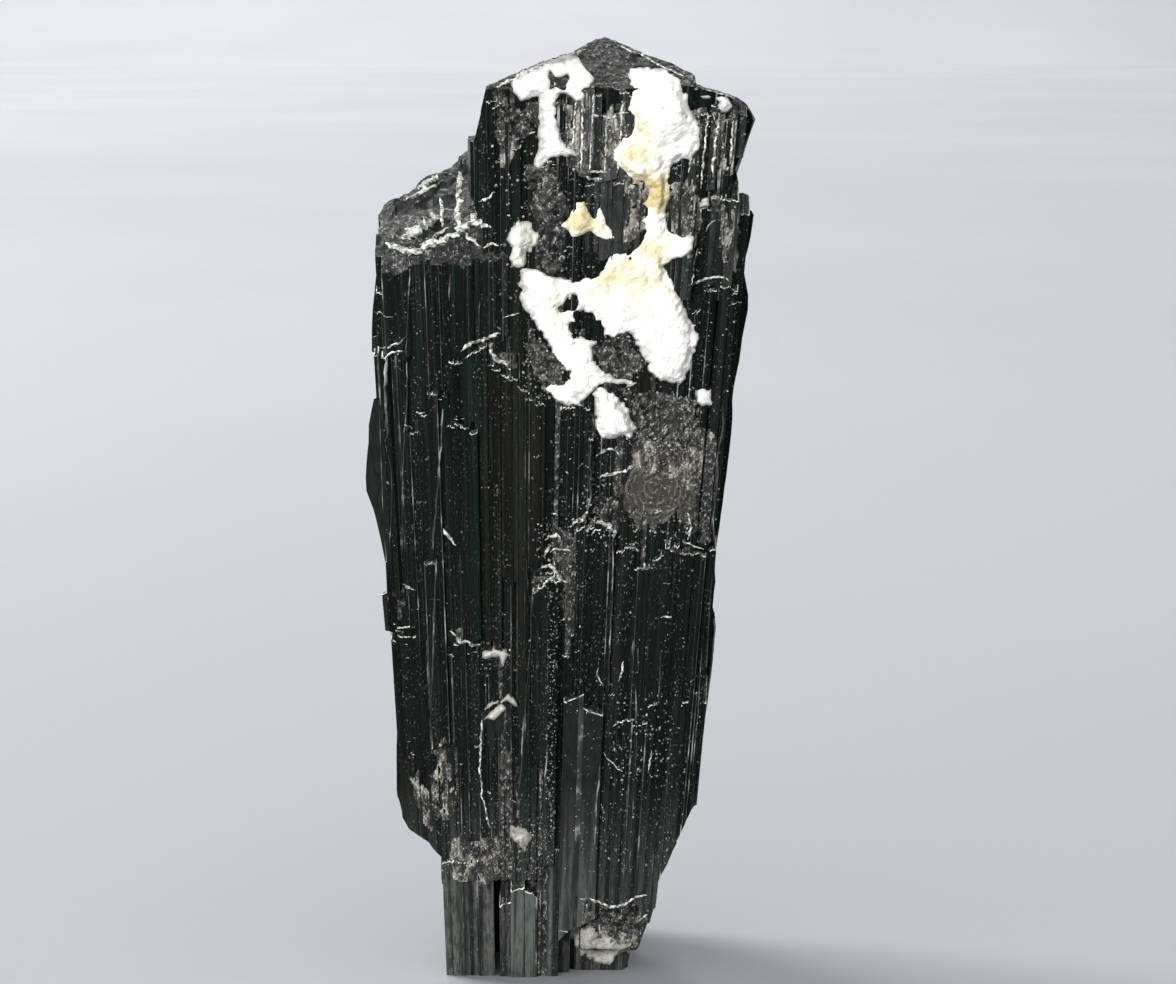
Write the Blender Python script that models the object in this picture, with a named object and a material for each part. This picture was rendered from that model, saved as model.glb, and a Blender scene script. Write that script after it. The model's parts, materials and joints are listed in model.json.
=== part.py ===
"""A parallel-growth tourmaline crystal, 50 mm tall, with the feldspar crusts that grew on its front.

The crystal is one solid: many long columns that share one axis direction and run together.
All columns taper towards the foot as ribs of one fan, so a column is given by its outline at
mid height and by the two sloping planes that end it. The foot is cut flat and the crystal
stands on that cut. Each crust, nugget and grain of feldspar is a solid of its own, seated on
the crystal with a small clearance.

Frame: +Z up, front towards -Y, origin on the flat foot under the crystal's axis.
"""

import math

import bmesh
import bpy
import numpy as np

MM = 0.001
HEIGHT = 50.0  # foot to apex
CLEARANCE = 0.3  # between the crystal and a crust that sits on it
UNCUT_ENDS = (-6.0, 58.0)  # where a column ends before its planes cut it
CORNER_SHARE = 0.26  # share of a narrow column's width taken by each cut corner
CORNER_ANGLE = math.radians(30)  # how far the cut corner turns back
ROOT_LIMIT = 2.0  # a narrow column that ends in front of this Y faces the front
BENCH_SIZE = 30.0  # the block that cuts the foot flat

# The fan: outlines are drawn at FAN_LEVEL and shrink towards the foot about FAN_AXIS.
FAN_LEVEL = 30.0
FAN_RATE = 0.0069  # change of scale for each millimetre of height
FAN_AXIS = np.array([-2.5, 0.0])

# Slopes of the end faces, as rise along X and rise along Y.
FRONT_FACE = (0.0, 0.55)
BACK_LEFT_FACE = (0.60, -0.15)
BACK_RIGHT_FACE = (-0.60, -0.15)
SHOULDER_FACE = (0.20, 0.55)
APEX = (2.5, -1.8)

# The big individuals: outline in plan, then the ends that aren't roof faces. An end is
# (height, slope), with the height on the outline's middle line.
MAIN_OUTLINE = [
    (-3.9, -5.0), (-2.6, -5.8), (4.5, -5.9), (7.4, -5.2), (8.2, -3.6),
    (7.6, 0.6), (5.4, 3.8), (1.2, 4.6), (-2.6, 4.2), (-4.2, 1.0),
]
MAIN_LOWER = (7.0, (0.0, 0.1))
LEFT_OUTLINE = [
    (-9.4, -4.4), (-8.7, -5.5), (-4.0, -5.9), (-2.5, -3.0),
    (-2.8, 3.6), (-4.4, 1.4), (-8.9, -1.4), (-9.4, -2.2),
]
LEFT_LOWER = (8.6, (0.0, 0.3))
SHOULDER_CORNER = (-9.2, -4.6, 39.5)  # a point of the plane that ends the left individual
RIGHT_OUTLINE = [
    (5.2, -5.5), (8.0, -4.9), (9.3, -3.4), (9.6, -0.6), (8.6, 2.2), (5.5, 4.4),
]
RIGHT_LOWER = (7.4, (0.5, 0.1))
RIGHT_UPPER = (42.0, (-0.25, 0.25))

# Narrower columns: x from, x to, y from, y to, lower end, its slope, upper end, its slope.
COLUMNS = [
    # front of the left individual
    (-9.3, -8.0, -5.2, -2.0, 7.9, (0.9, 0.5), 18.9, (0.1, 0.3)),
    (-7.4, -6.2, -6.1, -3.0, 9.4, (0.3, 0.2), 38.6, (-0.5, 0.5)),
    (-6.2, -5.0, -5.95, -3.0, 8.8, (0.0, 0.6), 27.0, (0.2, 0.5)),
    (-4.7, -3.7, -6.2, -3.0, 18.8, (0.2, -0.4), 34.4, (0.5, 0.4)),
    # front of the main individual
    (-3.75, -0.6, -6.0, -3.0, 18.6, (0.1, -0.5), 33.6, (-0.9, 0.5)),
    (-0.75, 0.85, -6.25, -3.0, 4.0, (0.0, 0.5), 22.2, (0.1, 0.5)),
    (1.0, 3.1, -6.15, -3.0, 8.0, (0.0, 0.5), 25.4, (0.0, 0.6)),
    (0.8, 2.9, -6.45, -3.0, 2.7, (0.0, 0.1), 15.2, (0.2, 0.9)),
    (3.3, 6.2, -6.1, -3.0, 5.2, (0.3, 0.4), 23.8, (0.1, 0.5)),
    (6.0, 7.8, -5.7, -3.0, 7.3, (0.6, 0.4), 24.2, (-0.2, 0.6)),
    # sides
    (7.8, 9.5, -3.8, 1.6, 8.6, (0.9, 0.2), 18.9, (-0.5, 0.2)),
    (-8.6, -5.2, -2.6, 2.4, 9.0, (0.7, 0.3), 28.5, (0.6, -0.5)),
    # back
    (-6.6, -2.6, 0.0, 4.7, 6.6, (0.4, -0.3), 33.0, (0.5, -0.5)),
    (-2.9, 2.4, 2.0, 6.3, 5.6, (0.0, -0.3), 45.6, (0.3, -0.5)),
    (-2.2, 0.6, 2.5, 6.9, 5.0, (0.0, -0.4), 36.5, (0.2, -0.5)),
    (1.2, 4.6, 2.0, 6.6, 6.4, (0.3, -0.3), 30.5, (-0.1, -0.6)),
    (4.4, 7.6, 0.0, 4.9, 8.2, (0.5, -0.4), 35.0, (-0.4, -0.5)),
    # foot: these run through the cut
    (-6.9, -3.4, -5.8, 1.5, -3.0, (0.0, 0.0), 10.0, (0.1, 0.2)),
    (-3.0, -0.7, -6.1, 0.0, -3.0, (0.0, 0.0), 5.1, (-0.1, 0.5)),
    (-3.5, 1.6, -5.6, 2.0, -3.0, (0.0, 0.0), 9.0, (0.0, 0.2)),
    (1.5, 5.1, -4.7, 3.0, -3.0, (0.0, 0.0), 9.0, (0.0, 0.2)),
    (2.6, 6.9, -5.9, -1.0, 2.0, (0.25, 0.2), 5.2, (0.1, 0.3)),
    (-5.6, -1.0, -1.0, 4.6, -3.0, (0.0, 0.0), 10.0, (0.1, -0.3)),
    (-1.6, 3.6, 0.5, 5.6, -3.0, (0.0, 0.0), 11.0, (0.0, -0.3)),
]

# The broken crown at the upper right and the sliver that stands out at the left.
CROWN_OUTLINE = [(6.2, -4.7), (7.7, -5.0), (8.9, -3.8), (9.2, -2.2), (8.0, 0.4), (6.2, 0.2)]
CROWN_LOWER = (43.2, (2.9, 0.3))
SLIVER_OUTLINE = [(-10.3, -2.6), (-9.2, -3.8), (-8.4, -2.4), (-9.3, -1.0)]
SLIVER_LOWER = (23.6, (-3.0, 0.2))
SLIVER_UPPER = (29.8, (1.4, 0.3))

# Feldspar: each solid is a run of lobes, as (x, y, z) of the middle and half sizes along X, Y, Z.
FELDSPAR = {
    "feldspar_crust": [
        ((5.8, -6.7, 46.0), (1.4, 1.5, 2.4)),
        ((6.5, -6.5, 44.5), (0.8, 1.0, 1.2)),
        ((4.4, -6.6, 44.0), (1.2, 1.3, 1.1)),
        ((4.9, -6.8, 42.4), (0.8, 0.9, 1.6)),
        ((5.2, -6.6, 40.3), (0.9, 0.9, 1.9)),
        ((4.0, -6.5, 38.2), (1.9, 1.1, 1.4)),
        ((4.4, -6.4, 36.6), (2.1, 1.2, 1.6)),
        ((5.9, -6.2, 34.9), (1.4, 1.5, 2.6)),
        ((2.3, -6.4, 36.7), (1.3, 0.8, 0.8)),
        ((0.9, -6.3, 36.6), (1.2, 0.8, 0.9)),
        ((-0.5, -6.3, 36.8), (1.1, 0.9, 1.3)),
        ((0.3, -6.3, 34.4), (1.1, 0.9, 1.6)),
        ((1.4, -6.2, 32.6), (1.1, 0.9, 0.8)),
    ],
    "feldspar_cap": [
        ((-0.6, -6.0, 47.9), (1.7, 1.4, 1.0)),
        ((1.1, -6.0, 48.0), (0.9, 1.3, 0.9)),
        ((-0.2, -6.5, 46.2), (0.7, 0.9, 1.7)),
        ((0.0, -6.5, 44.6), (1.3, 0.8, 0.7)),
    ],
    "feldspar_nugget": [((3.0, -6.1, 30.8), (1.0, 1.1, 1.3))],
    "feldspar_pebble": [((-1.7, -6.4, 39.7), (0.65, 0.9, 1.1))],
    "feldspar_patch": [((1.8, -6.4, 40.8), (1.1, 0.8, 0.9))],
    "feldspar_grain_top": [
        ((7.7, -5.2, 48.1), (0.8, 0.8, 0.7)),
        ((8.5, -5.0, 47.5), (0.7, 0.8, 0.7)),
    ],
    "feldspar_grain_upper": [((7.5, -5.8, 41.7), (0.5, 0.8, 0.5))],
    "feldspar_grain_lower": [((7.6, -5.1, 31.7), (0.6, 0.9, 0.7))],
    "feldspar_speck_middle": [((-3.0, -5.6, 18.2), (0.8, 0.9, 0.6))],
    "feldspar_crust_low": [
        ((-3.2, -5.3, 14.9), (0.8, 0.9, 0.7)),
        ((-2.3, -5.3, 15.4), (0.6, 0.8, 0.6)),
    ],
    "feldspar_crust_belt": [((-1.6, -5.2, 8.0), (1.1, 0.9, 1.0))],
    "feldspar_crust_foot": [
        ((2.7, -5.0, 1.9), (1.7, 0.8, 0.9)),
        ((1.9, -5.1, 2.9), (0.8, 0.8, 0.6)),
    ],
}


def plane_normal(slope):
    """The upward unit normal of a plane that rises by slope[0] along X and slope[1] along Y."""
    normal = np.array([-slope[0], -slope[1], 1.0])
    return normal / np.linalg.norm(normal)


def end_plane(outline, end):
    """(point, normal) of an end: its height is taken on the column's middle line."""
    height, slope = end
    middle = FAN_AXIS + (np.mean(outline, axis=0) - FAN_AXIS) * (
        1 + FAN_RATE * (height - FAN_LEVEL)
    )
    return np.array([middle[0], middle[1], height]), plane_normal(slope)


def widened(outline, by):
    """A convex outline with every side moved outwards by the same distance."""
    points = np.array(outline)
    ahead = np.roll(points, -1, axis=0) - points
    outward = np.column_stack([ahead[:, 1], -ahead[:, 0]])
    outward /= np.linalg.norm(outward, axis=1)[:, None]
    before = np.roll(outward, 1, axis=0)
    bisector = (outward + before) / (1 + (outward * before).sum(axis=1))[:, None]
    return points + by * bisector


def chamfered(x0, x1, y0, y1):
    """A six-sided outline: a rectangle whose outer corners are cut at about 30 degrees."""
    cut = CORNER_SHARE * (x1 - x0)
    drop = cut * math.tan(CORNER_ANGLE)
    if y1 <= ROOT_LIMIT:  # a front column keeps a square root inside the body
        return [(x0, y0 + drop), (x0 + cut, y0), (x1 - cut, y0), (x1, y0 + drop), (x1, y1), (x0, y1)]
    return [(x0, y0), (x1, y0), (x1, y1 - drop), (x1 - cut, y1), (x0 + cut, y1), (x0, y1 - drop)]


def cut_by_plane(solid, point, normal):
    """Keeps what lies behind the plane and closes the cut with one face."""
    geometry = solid.verts[:] + solid.edges[:] + solid.faces[:]
    found = bmesh.ops.bisect_plane(
        solid, geom=geometry, dist=1e-8, plane_co=point, plane_no=normal, clear_outer=True
    )
    rim = [item for item in found["geom_cut"] if isinstance(item, bmesh.types.BMEdge)]
    bmesh.ops.contextual_create(solid, geom=rim)


def helper(name, mesh):
    """An object that shapes others and isn't a part of the model."""
    made = bpy.data.objects.new(name, mesh)
    made.hide_render = True
    made.display_type = "WIRE"
    return made


def column(name, outline, lowers, uppers, grow=0.0):
    """A tapering prism on the fan, ended by planes. grow moves every face outwards."""
    outline = widened(outline, grow) if grow else np.array(outline)
    solid = bmesh.new()
    rings = []
    for level in UNCUT_ENDS:
        scale = 1 + FAN_RATE * (level - FAN_LEVEL)
        ring = FAN_AXIS + (outline - FAN_AXIS) * scale
        rings.append([solid.verts.new((x * MM, y * MM, level * MM)) for x, y in ring])
    count = len(outline)
    for index in range(count):
        after = (index + 1) % count
        solid.faces.new((rings[0][index], rings[0][after], rings[1][after], rings[1][index]))
    solid.faces.new(rings[0][::-1])
    solid.faces.new(rings[1])
    for point, normal in lowers:
        cut_by_plane(solid, (point - grow * normal) * MM, -normal)
    for point, normal in uppers:
        cut_by_plane(solid, (point + grow * normal) * MM, normal)
    bmesh.ops.recalc_face_normals(solid, faces=solid.faces)
    mesh = bpy.data.meshes.new(name)
    solid.to_mesh(mesh)
    solid.free()
    return helper(name, mesh)


def crystal_columns(prefix, grow):
    """Every column of the crystal, the biggest first."""
    apex = np.array([APEX[0], APEX[1], HEIGHT])
    roof = [(apex, plane_normal(s)) for s in (FRONT_FACE, BACK_LEFT_FACE, BACK_RIGHT_FACE)]
    shoulder = (np.array(SHOULDER_CORNER), plane_normal(SHOULDER_FACE))
    all_columns = [
        (MAIN_OUTLINE, [end_plane(MAIN_OUTLINE, MAIN_LOWER)], roof),
        (LEFT_OUTLINE, [end_plane(LEFT_OUTLINE, LEFT_LOWER)], [shoulder]),
        (
            RIGHT_OUTLINE,
            [end_plane(RIGHT_OUTLINE, RIGHT_LOWER)],
            [end_plane(RIGHT_OUTLINE, RIGHT_UPPER)],
        ),
        (CROWN_OUTLINE, [end_plane(CROWN_OUTLINE, CROWN_LOWER)], roof),
        (
            SLIVER_OUTLINE,
            [end_plane(SLIVER_OUTLINE, SLIVER_LOWER)],
            [end_plane(SLIVER_OUTLINE, SLIVER_UPPER)],
        ),
    ]
    for x0, x1, y0, y1, low, low_slope, high, high_slope in COLUMNS:
        outline = chamfered(x0, x1, y0, y1)
        all_columns.append(
            (outline, [end_plane(outline, (low, low_slope))], [end_plane(outline, (high, high_slope))])
        )
    return [
        column(f"{prefix}_column_{number:02d}", outline, lowers, uppers, grow)
        for number, (outline, lowers, uppers) in enumerate(all_columns)
    ]


def lobe(name, middle, half_sizes):
    """One rounded lump: an ellipsoid of 80 flat faces."""
    solid = bmesh.new()
    bmesh.ops.create_icosphere(solid, subdivisions=2, radius=1.0)
    for vertex in solid.verts:
        vertex.co = [(m + h * c) * MM for m, h, c in zip(middle, half_sizes, vertex.co)]
    mesh = bpy.data.meshes.new(name)
    solid.to_mesh(mesh)
    solid.free()
    return mesh


def united(obj, others, label):
    """Joins the other objects to this one with a single union."""
    group = bpy.data.collections.new(label)
    for other in others:
        group.objects.link(other)
    bpy.context.scene.collection.children.link(group)
    group.hide_render = True
    union = obj.modifiers.new("union", "BOOLEAN")
    union.operation = "UNION"
    union.operand_type = "COLLECTION"
    union.collection = group
    union.solver = "EXACT"


def without(obj, cutter, label):
    """Takes the cutter away from this object."""
    cut = obj.modifiers.new(label, "BOOLEAN")
    cut.operation = "DIFFERENCE"
    cut.object = cutter
    cut.solver = "EXACT"


def finish(name, colour, roughness):
    """A plain, non-metallic material."""
    material = bpy.data.materials.new(name)
    material.use_nodes = True
    shader = material.node_tree.nodes["Principled BSDF"]
    shader.inputs["Base Color"].default_value = (*colour, 1.0)
    shader.inputs["Roughness"].default_value = roughness
    shader.inputs["Metallic"].default_value = 0.0
    return material


for old in list(bpy.data.objects):
    bpy.data.objects.remove(old, do_unlink=True)

scene = bpy.context.scene
schorl = finish("black tourmaline", (0.012, 0.014, 0.013), 0.22)
albite = finish("white feldspar", (0.82, 0.81, 0.76), 0.6)
stained = finish("cream feldspar", (0.66, 0.60, 0.42), 0.65)

# Bench block: everything under the foot's cut.
block = bmesh.new()
bmesh.ops.create_cube(block, size=BENCH_SIZE * MM)
for corner in block.verts:
    corner.co.z -= BENCH_SIZE / 2 * MM
block_mesh = bpy.data.meshes.new("below_foot")
block.to_mesh(block_mesh)
block.free()
below_foot = helper("below_foot", block_mesh)
scene.collection.objects.link(below_foot)

# The crystal: all its columns joined, then cut flat at the foot.
first, *rest = crystal_columns("crystal", 0.0)
crystal = bpy.data.objects.new("tourmaline_crystal", first.data)
crystal.data.name = "tourmaline_crystal"
scene.collection.objects.link(crystal)
crystal.data.materials.append(schorl)
united(crystal, rest, "crystal_columns")
without(crystal, below_foot, "flat foot")
bpy.data.objects.remove(first, do_unlink=True)

# The same crystal a clearance larger all round, which seats the crusts.
seat, *rest = crystal_columns("seat", CLEARANCE)
scene.collection.objects.link(seat)
united(seat, rest, "seat_columns")

for node, lobes in FELDSPAR.items():
    meshes = [lobe(f"{node}_{n}", middle, half) for n, (middle, half) in enumerate(lobes)]
    crust = bpy.data.objects.new(node, meshes[0])
    scene.collection.objects.link(crust)
    crust.data.materials.append(stained if node == "feldspar_patch" else albite)
    if len(meshes) > 1:
        united(crust, [helper(mesh.name, mesh) for mesh in meshes[1:]], f"{node}_lobes")
    without(crust, seat, "seat")
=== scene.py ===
"""A black tourmaline crystal, 50 mm tall, with white feldspar crusts, standing on its cut foot."""

import json
import math

import bmesh
import bpy
import mathutils
import numpy as np
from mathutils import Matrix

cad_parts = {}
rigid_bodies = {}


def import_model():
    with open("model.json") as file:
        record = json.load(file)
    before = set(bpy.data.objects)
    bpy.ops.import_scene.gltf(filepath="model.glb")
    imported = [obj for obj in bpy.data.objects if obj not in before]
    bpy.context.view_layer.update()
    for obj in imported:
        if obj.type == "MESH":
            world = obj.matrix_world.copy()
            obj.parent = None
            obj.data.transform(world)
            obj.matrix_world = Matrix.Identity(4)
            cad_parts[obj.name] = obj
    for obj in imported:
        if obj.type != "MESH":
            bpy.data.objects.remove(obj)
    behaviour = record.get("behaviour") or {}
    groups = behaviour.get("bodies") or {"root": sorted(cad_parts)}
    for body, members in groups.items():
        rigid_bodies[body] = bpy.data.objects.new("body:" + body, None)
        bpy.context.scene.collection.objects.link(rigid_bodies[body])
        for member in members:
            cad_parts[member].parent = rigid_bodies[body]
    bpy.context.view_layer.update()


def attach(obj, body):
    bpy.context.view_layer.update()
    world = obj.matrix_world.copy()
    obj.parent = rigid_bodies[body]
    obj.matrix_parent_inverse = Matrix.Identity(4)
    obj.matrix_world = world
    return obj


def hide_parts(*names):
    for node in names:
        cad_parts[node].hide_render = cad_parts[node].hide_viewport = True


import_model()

# ----------------------------------------------------------
# The view: a long lens 150 mm in front of the crystal, tipped 10 degrees down, so that the
# pale table fills the frame behind it.

MM = 0.001
CAMERA_PLACE = (1.782 * MM, -148.288 * MM, 51.633 * MM)
CAMERA_TIP = 80.069  # degrees from straight down
CAMERA_LENS = 85.41

camera_data = bpy.data.cameras.new("view_camera")
camera_data.lens = CAMERA_LENS
camera_data.sensor_width = 36.0
camera_data.clip_start = 0.005
camera = bpy.data.objects.new("view_camera", camera_data)
camera.location = CAMERA_PLACE
camera.rotation_euler = (math.radians(CAMERA_TIP), 0.0, 0.0)
bpy.context.scene.collection.objects.link(camera)
bpy.context.scene.camera = camera


# ----------------------------------------------------------
# The tourmaline crystal. It is one natural piece: hundreds of parallel columns grown together,
# striated along their length, stepped at their ends and broken rough where it came off the rock.

FAN_LEVEL = 30.0  # plan drawings are true at this height, in millimetres
FAN_RATE = 0.0069  # and shrink by this share for each millimetre below it
FAN_AXIS = -2.5  # the X that the columns lean to
PRISM, EDGE, BREAK, SATIN, HIGHLIGHT_LINE, GRIT, FILM = range(7)  # the crystal's material slots
BLACK, BROWN, GREEN, SHEEN_GREY, SHEEN_PALE = 0.0, 0.25, 0.5, 0.75, 1.0  # the tones of its columns; the grey and the palest are painted reflections of pale surroundings


def fan(points):
    """Plan coordinates to true ones: x and y grow with height about the fan's axis, z stays."""
    scale = 1 + FAN_RATE * (points[..., 2] - FAN_LEVEL)
    true = points.copy()
    true[..., 0] = FAN_AXIS + (points[..., 0] - FAN_AXIS) * scale
    true[..., 1] = points[..., 1] * scale
    return true


# The multipliers of a common integer hash, and the share of its bits that a result is read from.
HASH_FIRST, HASH_SECOND = np.uint64(0x9E3779B97F4A7C15), np.uint64(0xBF58476D1CE4E5B9)
HASH_BITS = 0xFFFFFF
SEED_STEP = 7919
LATTICE_OFFSET = 1 << 16  # makes a corner's whole numbers positive


def mixed(whole, seed):
    """Integers to numbers from 0 to 1 that look random: multiply, fold the high bits down, repeat."""
    value = (whole.astype(np.uint64) + np.uint64(seed * SEED_STEP + 1)) * HASH_FIRST
    value ^= value >> np.uint64(29)
    value *= HASH_SECOND
    value ^= value >> np.uint64(32)
    return (value & np.uint64(HASH_BITS)).astype(float) / HASH_BITS


def corner_value(ix, iy, iz, seed):
    """The random number that belongs to one corner of the unit lattice."""
    key = ((ix + LATTICE_OFFSET) << 40) + ((iy + LATTICE_OFFSET) << 20) + (iz + LATTICE_OFFSET)
    return mixed(key, seed)


def noise(x, y, z, cell, seed):
    """Smooth noise, -1 to 1: random corner values of a lattice, blended by smoothstep weights."""
    shape = np.broadcast(x, y, z).shape
    parts = [np.broadcast_to(np.asarray(axis, float) / cell, shape) for axis in (x, y, z)]
    whole = [np.floor(part).astype(np.int64) for part in parts]
    weight = [(p - w) ** 2 * (3 - 2 * (p - w)) for p, w in zip(parts, whole)]
    total = 0.0
    for a in (0, 1):
        for b in (0, 1):
            for c in (0, 1):
                share = (weight[0] if a else 1 - weight[0]) * (weight[1] if b else 1 - weight[1])
                share = share * (weight[2] if c else 1 - weight[2])
                total = total + share * corner_value(whole[0] + a, whole[1] + b, whole[2] + c, seed)
    return 2 * total - 1


def layered(x, y, z, cell, seed):
    """Noise in three layers, each with half the cell and half the height of the one before."""
    return sum(noise(x, y, z, cell / 2**n, seed + n) / 2**n for n in range(3))


def grains(x, y, cell, seed):
    """(distance to the nearest grain's middle, that grain's random number) over a jittered lattice."""
    ix, iy = np.floor(x / cell).astype(np.int64), np.floor(y / cell).astype(np.int64)
    nearest, number = np.full(x.shape, 9.0), np.zeros(x.shape)
    for a in (-1, 0, 1):
        for b in (-1, 0, 1):
            cx = ix + a + corner_value(ix + a, iy + b, 0, seed)
            cy = iy + b + corner_value(ix + a, iy + b, 1, seed)
            away = np.hypot(x / cell - cx, y / cell - cy)
            closer = away < nearest
            nearest = np.where(closer, away, nearest)
            number = np.where(closer, corner_value(ix + a, iy + b, 2, seed), number)
    return nearest, number


def mesh_of(name, points, faces, slots=None, tones=0.0):
    """A mesh from points in millimetres. faces is a list of index arrays, one width each, and the
    tone that each face carries chooses its colour."""
    mesh = bpy.data.meshes.new(name)
    flat = [face for group in faces for face in group.tolist()]
    mesh.from_pydata((points * MM).tolist(), [], flat)
    if slots is not None:
        mesh.polygons.foreach_set("material_index", np.asarray(slots, np.int32))
    tone = mesh.attributes.new("tone", "FLOAT", "FACE")
    values = np.broadcast_to(tones, len(mesh.polygons))
    tone.data.foreach_set("value", values.astype(np.float32))
    return mesh


def placed(name, mesh):
    """An object at the origin that shows the mesh."""
    made = bpy.data.objects.new(name, mesh)
    bpy.context.scene.collection.objects.link(made)
    return made


STRAND_SPREAD = 0.55  # how unequal the strands of a striated side are
STRAND_FLAT = (0.62, 0.86)  # the share of a strand that its flat top takes


def striated(rng, width, strand, relief):
    """One edge of an outline as stairs: strands of random width, each with a flat top at a random
    height up to relief below the edge, joined by short risers. Returns distances along and depths."""
    count = max(1, round(width / strand))
    widths = rng.lognormal(0, STRAND_SPREAD, count)
    starts = np.concatenate([[0], np.cumsum(widths)[:-1]]) / widths.sum()
    ends = starts + widths / widths.sum() * rng.uniform(*STRAND_FLAT, count)
    depths = relief * rng.uniform(0, 1, count) ** 1.4
    along = np.column_stack([starts, ends]).ravel() * width
    return along, np.repeat(depths, 2)


def loft(name, rings, bands, ends, tone):
    """A closed solid through rings of equal length, counted from the foot: quads between rings,
    one flat face on each end. bands gives each quad's material, ends the two end faces'."""
    levels, count = rings.shape[:2]
    index = np.arange(levels * count).reshape(levels, count)
    after = np.roll(index, -1, axis=1)
    sides = np.stack([index[:-1], after[:-1], after[1:], index[1:]], axis=-1).reshape(-1, 4)
    caps = np.stack([index[0, ::-1], index[-1]])
    materials = np.concatenate([np.broadcast_to(bands, (levels - 1, count)).ravel(), ends])
    return mesh_of(name, fan(rings).reshape(-1, 3), [sides, caps], materials, tone)


RIM = 0.05  # height and width of the worn rim round a column's upper end
ROOT = 1.5  # how deep a column is set into the body behind it
CORNER_CUT = 0.055  # how wide the cut along a column's corner is, at most
CORNER_SHARE = 0.15  # and as a share of the column's width
OUTLINE_STEP = 0.7  # the most between the rings of a column that follows an outline
BITE = 0.07  # how deep a rough column is bitten into, at most
CORNER_LINES = 0.16  # the share of corners that carry a pale line, a painted highlight
RIDGE_LINES = 0.3  # and of columns with one on a ridge
TURN = 0.07  # how much a column's front is turned, as a gradient
LEAN = 0.012  # how far a column's end is off its middle, sideways
TOP_SLOPES = (0.3, 0.75)  # how steeply a column's top rises backwards
FOOT_SLOPES = (-0.6, 0.3)
RAGGED = (-0.1, 0.05)  # how far a strand's upper end is below or over the column's
END_POWER = 6  # the higher this is, the nearer to its ends a column starts to slope
# What a column is like: the width of its strands, their relief, the height between its rings, and
# its material.
COLUMN_FINISHES = {
    "fine": (0.11, 0.022, 4.0, PRISM),
    "coarse": (0.17, 0.05, 2.5, PRISM),
    "smooth": (0.45, 0.012, 9.0, SATIN),
    "rough": (0.13, 0.08, 0.24, GRIT),
}


def rib(name, rng, middle, outward, width, low, high, tone, finish, slope=None, drift=None):
    """A column on the crystal's skin. In plan it is a strip set ROOT deep, whose outer edge is
    striated and turned a little and whose corners are cut. It rises from low to high; both ends
    slope and the upper one is ragged. drift(z) moves the strip outwards along its height."""
    strand, relief, step, body = COLUMN_FINISHES[finish]
    step = min(step, OUTLINE_STEP) if drift else step
    cut = min(CORNER_SHARE * width, CORNER_CUT) * rng.uniform(0.5, 1.3, 2)
    along, depths = striated(rng, width - cut.sum(), strand, relief)
    across = np.concatenate([[0, 0], along + cut[0], [width, width]]) - width / 2
    drop = 0.7 * cut
    out = np.concatenate([[-ROOT, -drop[0]], -depths, [-drop[1], -ROOT]])
    out[1:-1] += rng.normal(0, TURN) * across[1:-1]
    fronts = np.arange(1, len(out) - 1)
    tangent = np.array([-outward[1], outward[0]])
    slope = slope if slope is not None else (rng.normal(0, 0.3), rng.uniform(*TOP_SLOPES))
    foot_slope = (rng.normal(0, 0.5), rng.uniform(*FOOT_SLOPES))
    count = max(2, int(round((high - low) / step)) + 1)
    heights = np.linspace(low, high - RIM, count)
    heights[1:-1] += rng.uniform(-0.3, 0.3, count - 2) * (high - low) / (count - 1)
    levels = np.concatenate([heights, [high]])
    shape_out = np.repeat(out[None], count + 1, axis=0)
    shape_out[:count, fronts] *= rng.uniform(0.55, 1.25, (count, len(fronts)))
    if finish == "rough":
        shape_out[:count, fronts] -= BITE * rng.uniform(0, 1, (count, len(fronts)))
    shape_out[-1, fronts] -= RIM
    shape_out += drift(levels)[:, None] if drift else 0.0
    shape_across = np.repeat(across[None], count + 1, axis=0)
    shape_across[-1] *= max(0.4, 1 - 1.6 * RIM / width)
    lean = rng.normal(0, LEAN, 2)[0] * np.linspace(-1, 1, count + 1)
    shape_across = shape_across + lean[:, None]
    plan = (
        np.asarray(middle)
        + shape_across[..., None] * tangent
        + shape_out[..., None] * np.asarray(outward)
    )
    share = np.clip((levels - low) / (high - low), 0, 1)[:, None]

    def rise(gradient):
        return gradient[0] * shape_across - gradient[1] * out

    ragged = np.zeros(len(out))
    ragged[fronts] = rng.uniform(*RAGGED, len(fronts))
    near_top, near_foot = share**END_POWER, (1 - share) ** END_POWER
    z = levels[:, None] + near_top * (rise(slope) + ragged) + near_foot * rise(foot_slope)
    rings = np.concatenate([plan, z[..., None]], axis=-1)
    bands = np.full((count, len(out)), body)
    # Pale lines on some corners and ridges are painted highlights.
    bands[:, [1, len(out) - 3]] = np.where(rng.uniform(size=2) < CORNER_LINES, HIGHLIGHT_LINE, body)
    if len(out) > 9 and rng.uniform() < RIDGE_LINES:
        bands[:, 3 + 2 * rng.integers(0, (len(out) - 7) // 2)] = HIGHLIGHT_LINE
    # The top ring is the worn rim: pale chips with a painted highlight.
    bands[-1] = EDGE
    return loft(name, rings, bands, [BREAK, BREAK], tone)


RIB_WIDTH = 0.28  # about how wide the ribs are that a row's column is split into
OVERLAP = 0.03  # how far neighbouring ribs grow into each other


def with_look(row):
    """A table's row of six numbers, with the usual tone and finish added where it has none."""
    return row + (BLACK, "fine")[len(row) - 6:]


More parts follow.
